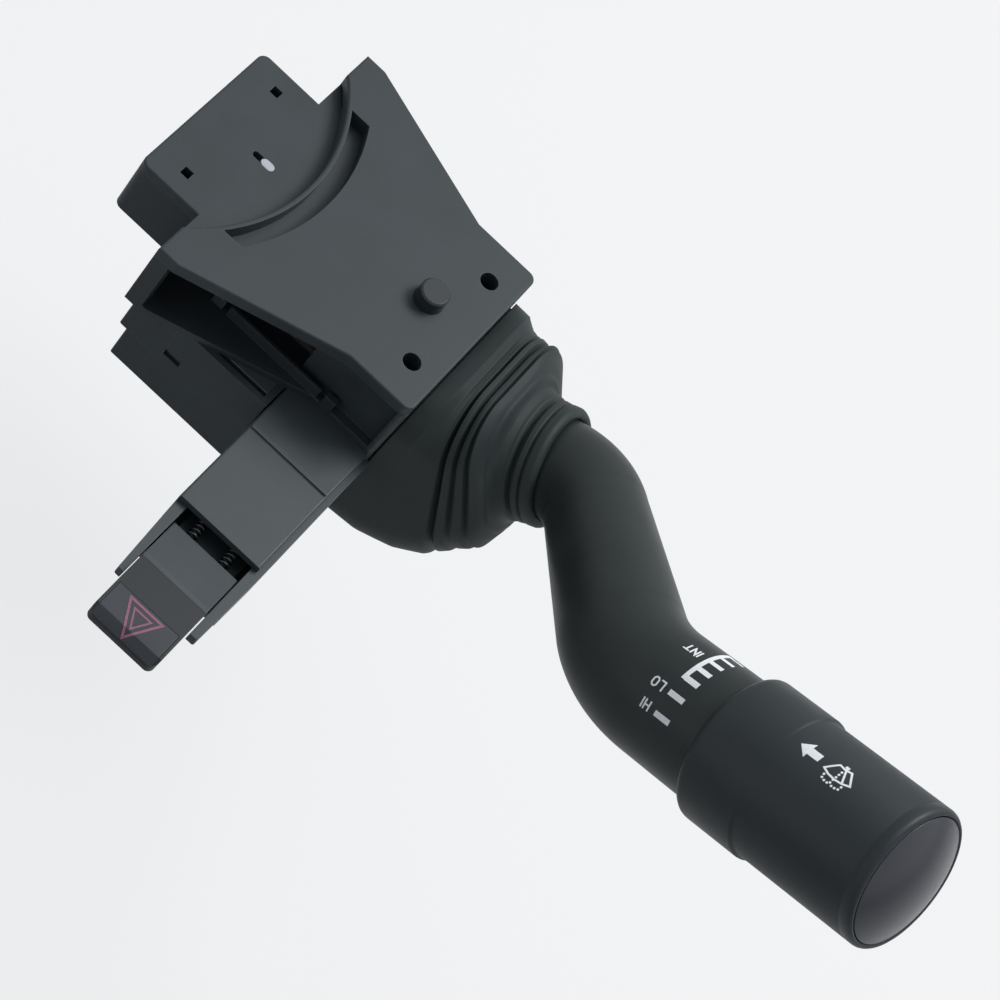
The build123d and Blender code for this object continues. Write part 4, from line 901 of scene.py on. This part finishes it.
# The lever's bore starts at one of the neck's stations, and the pleats before it are hollow
BORE, BORED_FROM, HOLLOW_STATIONS = 11.12, 12, 9
bore_size = (BORE, BORE, BORE, BORE, BORE - 0.1)
bore_end = (*neck_stations[-1][:3], *bore_size, neck_stations[-1][-1])
bore_start = (*neck_stations[BORED_FROM][:3], *bore_size, 0.0)
neck_inner = [(bore_end, 0.0), (bore_start, 0.0)]
neck_inner += [(station, LINING) for station in reversed(neck_stations[:HOLLOW_STATIONS])]
boot_neck = boot_piece("boot_pleats", neck_stations, neck_places, PLEAT_PITCH, neck_inner)
print("boot shells:", len(boot_shoulder.data.polygons), "and", len(boot_neck.data.polygons), "faces")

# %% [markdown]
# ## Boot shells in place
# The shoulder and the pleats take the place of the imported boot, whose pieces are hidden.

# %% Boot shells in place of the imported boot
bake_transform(boot_shoulder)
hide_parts("boot_base")
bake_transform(boot_neck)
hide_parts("boot_neck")

# %% [markdown]
# ## Knob sleeve
# The turning knob is moulded in two pieces, a round collar and an oval grip, with a flush joint
# between them. From the front the joint can't be seen; at the sides the collar stands out by half
# a millimetre, because the grip is a little oval. A Screw modifier would turn an outline round the
# axis, but only in circles. So the sleeve is a stack of rings: each is an ellipse, round at the
# collar and oval from there on. The back edge is rounded. The end has a hairline groove, the same
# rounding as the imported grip, and the washer button's mouth.

# %% Knob sleeve
knob_start = Vector(joints["wiper_turn"]["pos_m"])
knob_axis = Vector(joints["wiper_turn"]["axis"]).normalized()
front = (view_back - knob_axis * view_back.dot(knob_axis)).normalized()
side = knob_axis.cross(front)
OVAL_TURN = math.radians(-15.0)
COLLAR_R, GRIP_WIDE, GRIP_SLIM, MOUTH_R = 16.05, 16.0, 15.4, 14.06
COLLAR_END, KNOB_END = 15.3, 45.4


def round_knob(along, turn, reach):
    """A point round the knob's axis: mm along it, radians from the front, mm out from it."""
    outwards = front * math.cos(turn) + side * math.sin(turn)
    return knob_start + (knob_axis * along + outwards * reach) * MM


def oval(turn, wide, slim):
    """An ellipse's radius at a turn, long across the oval's own direction."""
    angle = turn - OVAL_TURN
    return wide * slim / math.hypot(slim * math.cos(angle), wide * math.sin(angle))


# Sleeve outline: along the axis, radius on the long and on the short side
sleeve = [
    (0.30, 14.00, 14.00),
    (0.32, 14.70, 14.70),
    (0.50, 15.20, 15.20),
    (0.85, 15.62, 15.62),
    (1.30, 15.90, 15.90),
    (1.80, 16.02, 16.02),
    (2.30, COLLAR_R, COLLAR_R),
    (COLLAR_END - 0.5, COLLAR_R, COLLAR_R),
    (COLLAR_END - 0.12, COLLAR_R - 0.02, COLLAR_R - 0.08),
    (COLLAR_END + 0.06, GRIP_WIDE + 0.005, GRIP_SLIM + 0.12),
    (COLLAR_END + 0.25, GRIP_WIDE, GRIP_SLIM),
    (42.35, GRIP_WIDE, GRIP_SLIM),
    (42.50, GRIP_WIDE - 0.07, GRIP_SLIM - 0.07),
    (42.65, GRIP_WIDE - 0.07, GRIP_SLIM - 0.07),
    (42.80, GRIP_WIDE, GRIP_SLIM),
    (44.20, GRIP_WIDE, GRIP_SLIM),
    (44.60, GRIP_WIDE - 0.07, GRIP_SLIM - 0.07),
    (44.90, GRIP_WIDE - 0.21, GRIP_SLIM - 0.20),
    (45.20, GRIP_WIDE - 0.50, GRIP_SLIM - 0.42),
    (KNOB_END, GRIP_WIDE - 0.95, 14.70),
    (KNOB_END, 14.45, 14.45),
    (45.30, 14.22, 14.22),
    (44.90, MOUTH_R, MOUTH_R),
    (2.0, MOUTH_R, MOUTH_R),
]
SLEEVE_POINTS = 192
points = []
for along, wide, slim in sleeve:
    for at in range(SLEEVE_POINTS):
        turn = 2 * math.pi * at / SLEEVE_POINTS
        points.append(round_knob(along, turn, oval(turn, wide, slim)))
sleeve_faces = ring_faces(len(sleeve), SLEEVE_POINTS, True)
knob_sleeve = outward(shown("knob_sleeve", points, sleeve_faces, knob_nylon))
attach(knob_sleeve, "wiper_knob")
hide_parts("knob_collar", "knob_grip")
print("knob sleeve:", len(knob_sleeve.data.polygons), "faces")

# %% [markdown]
# ## End button
# The button in the knob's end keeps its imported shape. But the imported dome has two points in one
# place at its middle, and the triangle between them has no area. Its normal points aside and makes
# a dark speck. Deleting that triangle alone would leave the dome open there. So the two points are
# welded into one, and the normal at that point is set along the knob's axis.

# %% End button
# The dome's middle is past this place on the knob's axis and this near to it
DOME_PAST_MM, DOME_NEAR_MM = 48, 0.05
WELD_MM = 0.001


def at_apex(place):
    """Whether a point is the middle of the end button's dome."""
    along = (place - knob_start).dot(knob_axis)
    beside = (place - knob_start - knob_axis * along).length
    return along > DOME_PAST_MM * MM and beside < DOME_NEAR_MM * MM


dome = taken_over("washer_button", button_grey)
shape = bmesh.new()
shape.from_mesh(dome.data)
doubled = [point for point in shape.verts if at_apex(point.co)]
bmesh.ops.remove_doubles(shape, verts=doubled, dist=WELD_MM * MM)
shape.to_mesh(dome.data)
shape.free()
normals = [corner.vector.copy() for corner in dome.data.corner_normals]
for at, corner in enumerate(dome.data.loops):
    if at_apex(dome.data.vertices[corner.vertex_index].co):
        normals[at] = knob_axis
dome.data.normals_split_custom_set(normals)
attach(dome, "washer_button")
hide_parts("washer_button")
print("end button: welded", len(doubled), "points at the dome's middle into one")

# %% [markdown]
# ## Printed marks
# The wiper marks are pad printed on the lever and the knob: HI and LO with a bar each, INT with a
# comb of five ticks for the delay, an arrow on the knob, and the windscreen washer symbol. Ink is a
# very thin skin, so each mark is first drawn flat, in millimetres along the lever and round it, and
# then laid on the curved surface as a slab a few hundredths of a millimetre thick.


# %% Flat drawing helpers
def ribbon(line, width, closed=False, step=0.35):
    """A flat line of even width through the points: its own points and quads."""
    line = [Vector(point) for point in line]
    if closed:
        line.append(line[0])
    ways = [(b - a).normalized() for a, b in zip(line, line[1:])]
    if not closed:
        line[0] = line[0] - ways[0] * width / 2
        line[-1] = line[-1] + ways[-1] * width / 2
    points = []
    for at, way in enumerate(ways):
        length = (line[at + 1] - line[at]).length
        parts = max(1, math.ceil(length / step))
        before = ways[at - 1] if at or closed else way
        for part in range(parts):
            blend = (before + way).normalized() if part == 0 else way
            stretch = 1 / max(0.35, blend.dot(way))
            out = Vector((-blend.y, blend.x)) * (width / 2 * stretch)
            middle = line[at] + way * (length * part / parts)
            points += [middle + out, middle - out]
    if not closed:
        out = Vector((-ways[-1].y, ways[-1].x)) * width / 2
        points += [line[-1] + out, line[-1] - out]
    pairs = len(points) // 2
    faces = []
    for at in range(pairs if closed else pairs - 1):
        following = (at + 1) % pairs
        faces.append((2 * at, 2 * at + 1, 2 * following + 1, 2 * following))
    return points, faces


def filled(left, right, steps=8):
    """A flat patch between two lines of as many points, in strips."""
    points = []
    for step in range(steps + 1):
        for a, b in zip(left, right):
            points.append(Vector(a).lerp(Vector(b), step / steps))
    wide = len(left)
    faces = []
    for step in range(steps):
        for at in range(wide - 1):
            low = step * wide + at
            faces.append((low, low + 1, low + wide + 1, low + wide))
    return points, faces


def joined(drawings):
    """Several flat drawings as one."""
    points, faces = [], []
    for more_points, more_faces in drawings:
        base = len(points)
        points += more_points
        faces += [tuple(corner + base for corner in face) for face in more_faces]
    return points, faces


def unpacked(piece, along=0.0, round_it=0.0):
    """A grown flat piece as a drawing, moved in mm. The object itself is taken away."""
    points = [Vector((point.co.x + along, point.co.y + round_it)) for point in piece.data.vertices]
    faces = [tuple(face.vertices) for face in piece.data.polygons]
    bpy.data.objects.remove(piece)
    return points, faces


def ink(name, drawing, lay, material, body, slot_name, height=0.035, depth=0.12):
    """Lays a flat drawing on a surface as a closed thin slab that rides on a body."""
    flat, faces = drawing
    points = [lay(point, height) for point in flat] + [lay(point, -depth) for point in flat]
    count = len(flat)
    skin = list(faces) + [tuple(corner + count for corner in reversed(face)) for face in faces]
    sides = dict.fromkeys(side for face in faces for side in zip(face, face[1:] + face[:1]))
    skin += [(b, a, a + count, b + count) for a, b in sides if (b, a) not in sides]
    piece = outward(shown(name, points, skin, material, smooth=False))
    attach(piece, body)
    return piece


print("flat drawing helpers ready")

# %% Letters and bars on the lever
LEVER_R = 13.8
LEVER_TAPER = OUTER_GROWTH_MM / (OUTER_MM - second_cut)


def on_lever(point, height):
    """A point of the lever's outer stretch: x is mm along the axis, y is mm round it."""
    reach = LEVER_R + LEVER_TAPER * point[0]
    return round_knob(point[0], point[1] / LEVER_R, reach + height)


def lever_mark(along, degrees):
    """A flat point on the lever from its place along the axis and its turn in degrees."""
    return (along, LEVER_R * math.radians(degrees))


# Each letter's width, as a share of its height, and its strokes in a square of side 1
LETTERS = {
    "H": (0.62, [[(0, 0), (0, 1)], [(1, 0), (1, 1)], [(0, 0.5), (1, 0.5)]]),
    "I": (0.0, [[(0, 0), (0, 1)]]),
    "L": (0.5, [[(0, 1), (0, 0), (1, 0)]]),
    "N": (0.62, [[(0, 0), (0, 1), (1, 0), (1, 1)]]),
    "T": (0.6, [[(0, 1), (1, 1)], [(0.5, 0), (0.5, 1)]]),
    "O": (0.62, [[(0.3, 0), (0.7, 0), (1, 0.22), (1, 0.78), (0.7, 1), (0.3, 1), (0, 0.78), (0, 0.22)]]),
}


def word(text, start, height, stroke, gap):
    """Letters in a row from start, read towards the lever's root, upright round the lever."""
    drawings = []
    along, base = start
    for letter in text:
        wide, lines = LETTERS[letter]
        for line in lines:
            placed = [(along - x * wide * height, base + y * height) for x, y in line]
            drawings.append(ribbon(placed, stroke, closed=letter == "O"))
        along -= (wide + gap) * height
    return drawings


LETTER_H, STROKE = 1.85, 0.36
marks = word("HI", lever_mark(-12.3, 10.2), LETTER_H, STROKE, 0.36)
marks += word("LO", lever_mark(-12.15, -9.3), LETTER_H, STROKE, 0.36)
marks += word("INT", lever_mark(-12.5, -52.6), LETTER_H, STROKE, 0.33)
BAR_START, BAR_END, BAR_WIDE = -10.0, -7.3, 1.2
HI_BAR_DEG, LO_BAR_DEG = 15.1, -5.4
for degrees in (HI_BAR_DEG, LO_BAR_DEG):
    marks.append(ribbon([lever_mark(BAR_START, degrees), lever_mark(BAR_END, degrees)], BAR_WIDE))
lever_marks = ink("lever_letters", joined(marks), on_lever, white_ink, "lever", "lever_plastic")
print("lever letters and bars:", len(lever_marks.data.polygons), "faces")

# %% [markdown]
# ## Comb of ticks
# The delay scale is one spine with ticks that get narrower the longer the delay. Repeats are what
# Geometry Nodes are for: a line of points, a small strip on each, and a scale that shrinks with the
# point's number. The flat result is laid on the lever like the other marks.

# %% Comb tree
tree, start = geometry_tree(
    "tick_comb",
    {
        "Ticks": "Int",
        "Pitch": "Float",
        "Tick Length": "Float",
        "Tick Width": "Float",
        "Narrowing": "Float",
        "Finish": "Material",
    },
)
away = node(tree, "ShaderNodeCombineXYZ", {"Y": start.outputs["Pitch"]})
row = node(tree, "GeometryNodeMeshLine", {"Count": start.outputs["Ticks"], "Offset": away.outputs[0]})
strip = node(
    tree,
    "GeometryNodeMeshGrid",
    {
        "Size X": start.outputs["Tick Length"],
        "Size Y": start.outputs["Tick Width"],
        "Vertices X": 6,
        "Vertices Y": 5,
    },
)
number = node(tree, "GeometryNodeInputIndex")
shrink = node(
    tree, "ShaderNodeMath", {0: number.outputs[0], 1: start.outputs["Narrowing"]}, operation="MULTIPLY"
)
left_over = node(tree, "ShaderNodeMath", {0: 1.0, 1: shrink.outputs[0]}, operation="SUBTRACT")
narrow = node(tree, "ShaderNodeCombineXYZ", {"X": 1.0, "Y": left_over.outputs[0], "Z": 1.0})
ticks = node(
    tree,
    "GeometryNodeInstanceOnPoints",
    {"Points": row.outputs[0], "Instance": strip.outputs[0], "Scale": narrow.outputs[0]},
)
finish_tree(tree, ticks.outputs[0], start.outputs["Finish"])
print("comb tree has", len(tree.nodes), "nodes")

# %% Comb of ticks
TICKS, PITCH_DEG, FIRST_TICK_DEG = 5, 13.6, -22.8
TICK_MIDDLE, SPINE_ALONG, SPINE_WIDE = -8.35, -10.35, 1.0
SPINE_DEG = (-22.6, -50.0, -78.0)
pitch_mm = -LEVER_R * math.radians(PITCH_DEG)
comb = grown(
    "comb_flat",
    [(0, 0, 0)],
    [],
    tree,
    {
        "Ticks": TICKS,
        "Pitch": pitch_mm,
        "Tick Length": 3.3,
        "Tick Width": 1.3,
        "Narrowing": 0.09,
        "Finish": white_ink,
    },
)
ticks_flat = unpacked(comb, *lever_mark(TICK_MIDDLE, FIRST_TICK_DEG))
spine = ribbon([lever_mark(SPINE_ALONG, degrees) for degrees in SPINE_DEG], SPINE_WIDE, step=0.5)
comb_marks = ink("wiper_comb", joined([ticks_flat, spine]), on_lever, white_ink, "lever", "lever_plastic")
print("comb has", TICKS, "ticks and", len(comb_marks.data.polygons), "faces")

# %% [markdown]
# ## Marks on the knob
# The arrow and the washer symbol are printed on the turning knob. The dotted water jet follows a
# line, so a second small tree sets round dots along it at an even spacing.

# %% Dot tree
dot_sizes = {"Spacing": "Float", "Dot Radius": "Float", "Finish": "Material"}
tree, start = geometry_tree("dotted_line", dot_sizes)
line = node(tree, "GeometryNodeMeshToCurve", {"Mesh": start.outputs["Geometry"]})
even = node(
    tree,
    "GeometryNodeResampleCurve",
    {"Curve": line.outputs[0], "Length": start.outputs["Spacing"]},
    mode="LENGTH",
)
dot = node(
    tree,
    "GeometryNodeMeshCircle",
    {"Vertices": 10, "Radius": start.outputs["Dot Radius"]},
    fill_type="NGON",
)
dots = node(tree, "GeometryNodeInstanceOnPoints", {"Points": even.outputs[0], "Instance": dot.outputs[0]})
finish_tree(tree, dots.outputs[0], start.outputs["Finish"])
print("dot tree has", len(tree.nodes), "nodes")

# %% Knob marks
KNOB_MARK_R = 15.9
LINE, DOT_SPACING, DOT_R = 0.42, 0.68, 0.27


def on_knob(point, height):
    """A point of the oval grip: x is mm along the axis, y is mm round it."""
    turn = point[1] / KNOB_MARK_R
    return round_knob(point[0], turn, oval(turn, GRIP_WIDE, GRIP_SLIM) + height)


def knob_mark(along, degrees):
    """A flat point on the knob from its place along the axis and its turn in degrees."""
    return (along, KNOB_MARK_R * math.radians(degrees))


arrow_tip = knob_mark(18.0, -32.2)
head_low, head_high = knob_mark(20.4, -39.3), knob_mark(20.4, -24.8)
shaft = [knob_mark(20.3, -34.9), knob_mark(23.1, -34.9)]
shaft_far = [knob_mark(20.3, -28.5), knob_mark(23.1, -28.5)]
middle = knob_mark(20.4, -32.2)
knob_drawings = [
    filled([arrow_tip, head_low], [arrow_tip, middle], 5),
    filled([arrow_tip, middle], [arrow_tip, head_high], 5),
    filled(shaft, shaft_far, 5),
]
# The windscreen: its long upper edge, then its short lower one, along the axis and in degrees
upper_edge = [(24.9, -28.3), (26.4, -26.2), (28.15, -25.5), (29.9, -26.2), (31.4, -28.1)]
lower_edge = [(29.5, -37.6), (28.1, -36.5), (26.6, -37.4)]
screen = [knob_mark(along, degrees) for along, degrees in upper_edge + lower_edge]
knob_drawings.append(ribbon(screen, LINE, closed=True))
blade = [knob_mark(28.04, -38.5), knob_mark(29.8, -26.5)]
knob_drawings.append(ribbon(blade, LINE))
knob_drawings.append(ribbon([knob_mark(27.9, -39.0), knob_mark(28.2, -39.0)], 0.6))
jets = [
    [(28.07, -33.2), (28.05, -22.0)],
    [(27.6, -20.6), (26.5, -20.8), (26.0, -21.8), (25.9, -24.3)],
    [(28.7, -20.5), (29.7, -20.6), (30.2, -21.4), (30.3, -24.0)],
]
for jet in jets:
    dotted = grown(
        "jet_flat",
        [(*knob_mark(along, degrees), 0.0) for along, degrees in jet],
        [(at, at + 1) for at in range(len(jet) - 1)],
        tree,
        {"Spacing": DOT_SPACING, "Dot Radius": DOT_R, "Finish": white_ink},
    )
    knob_drawings.append(unpacked(dotted))
knob_marks = ink("knob_symbols", joined(knob_drawings), on_knob, white_ink, "wiper_knob", "lever_plastic")
print("knob symbols:", len(knob_marks.data.polygons), "faces")

# %% [markdown]
# ## Hazard triangle
# The hazard button's lens carries the warning triangle as two thin outlines, one inside the other.
# The lens is flat on top and its tip end rounds over the cap, so the drawing is cast onto the
# meshes of both along one slanted direction: every point stops where it meets the surface.

# %% Hazard triangle
OUTER_SIDE, OUTER_LINE, INNER_SIDE, INNER_LINE = 8.3, 0.5, 4.3, 0.38
tip_points, tip_faces = [], []
for name in ("hazard_lens", "hazard_cap"):
    base = len(tip_points)
    tip_points += [vertex.co.copy() for vertex in cad[name].data.vertices]
    tip_faces += [tuple(base + at for at in face.vertices) for face in cad[name].data.polygons]
tip_tree = BVHTree.FromPolygons(tip_points, tip_faces)
CAST_LEAN, CAST_FROM_MM = math.radians(25.0), 10
cast_from = Vector((0.0, -math.sin(CAST_LEAN), math.cos(CAST_LEAN)))
down_lens = Vector((0.0, -math.cos(CAST_LEAN), -math.sin(CAST_LEAN)))
TRIANGLE_MIDDLE = Vector((-3.83, -91.0, -20.06)) * MM


def on_lens(point, height):
    """A flat point, x across the lens and y towards its front end, cast onto the button's tip."""
    origin = TRIANGLE_MIDDLE + (Vector((1.0, 0.0, 0.0)) * point[0] + down_lens * point[1]) * MM
    place = tip_tree.ray_cast(origin + cast_from * CAST_FROM_MM * MM, -cast_from)[0]
    if place is None:
        place = tip_tree.find_nearest(origin)[0]
    return place + cast_from * height * MM


def triangle(side_mm, width):
    """One outline of the warning triangle, centred, with a point towards the front end."""
    reach = side_mm / math.sqrt(3)
    turns = [math.radians(degrees) for degrees in (90, 210, 330)]
    corners = [(reach * math.cos(turn), reach * math.sin(turn)) for turn in turns]
    return ribbon(corners, width, closed=True, step=0.3)


outlines = joined([triangle(OUTER_SIDE, OUTER_LINE), triangle(INNER_SIDE, INNER_LINE)])
hazard_mark = ink("hazard_triangle", outlines, on_lens, red_ink, "hazard_button", "lens_plastic", 0.05, 0.1)
print("hazard triangle:", len(hazard_mark.data.polygons), "faces")
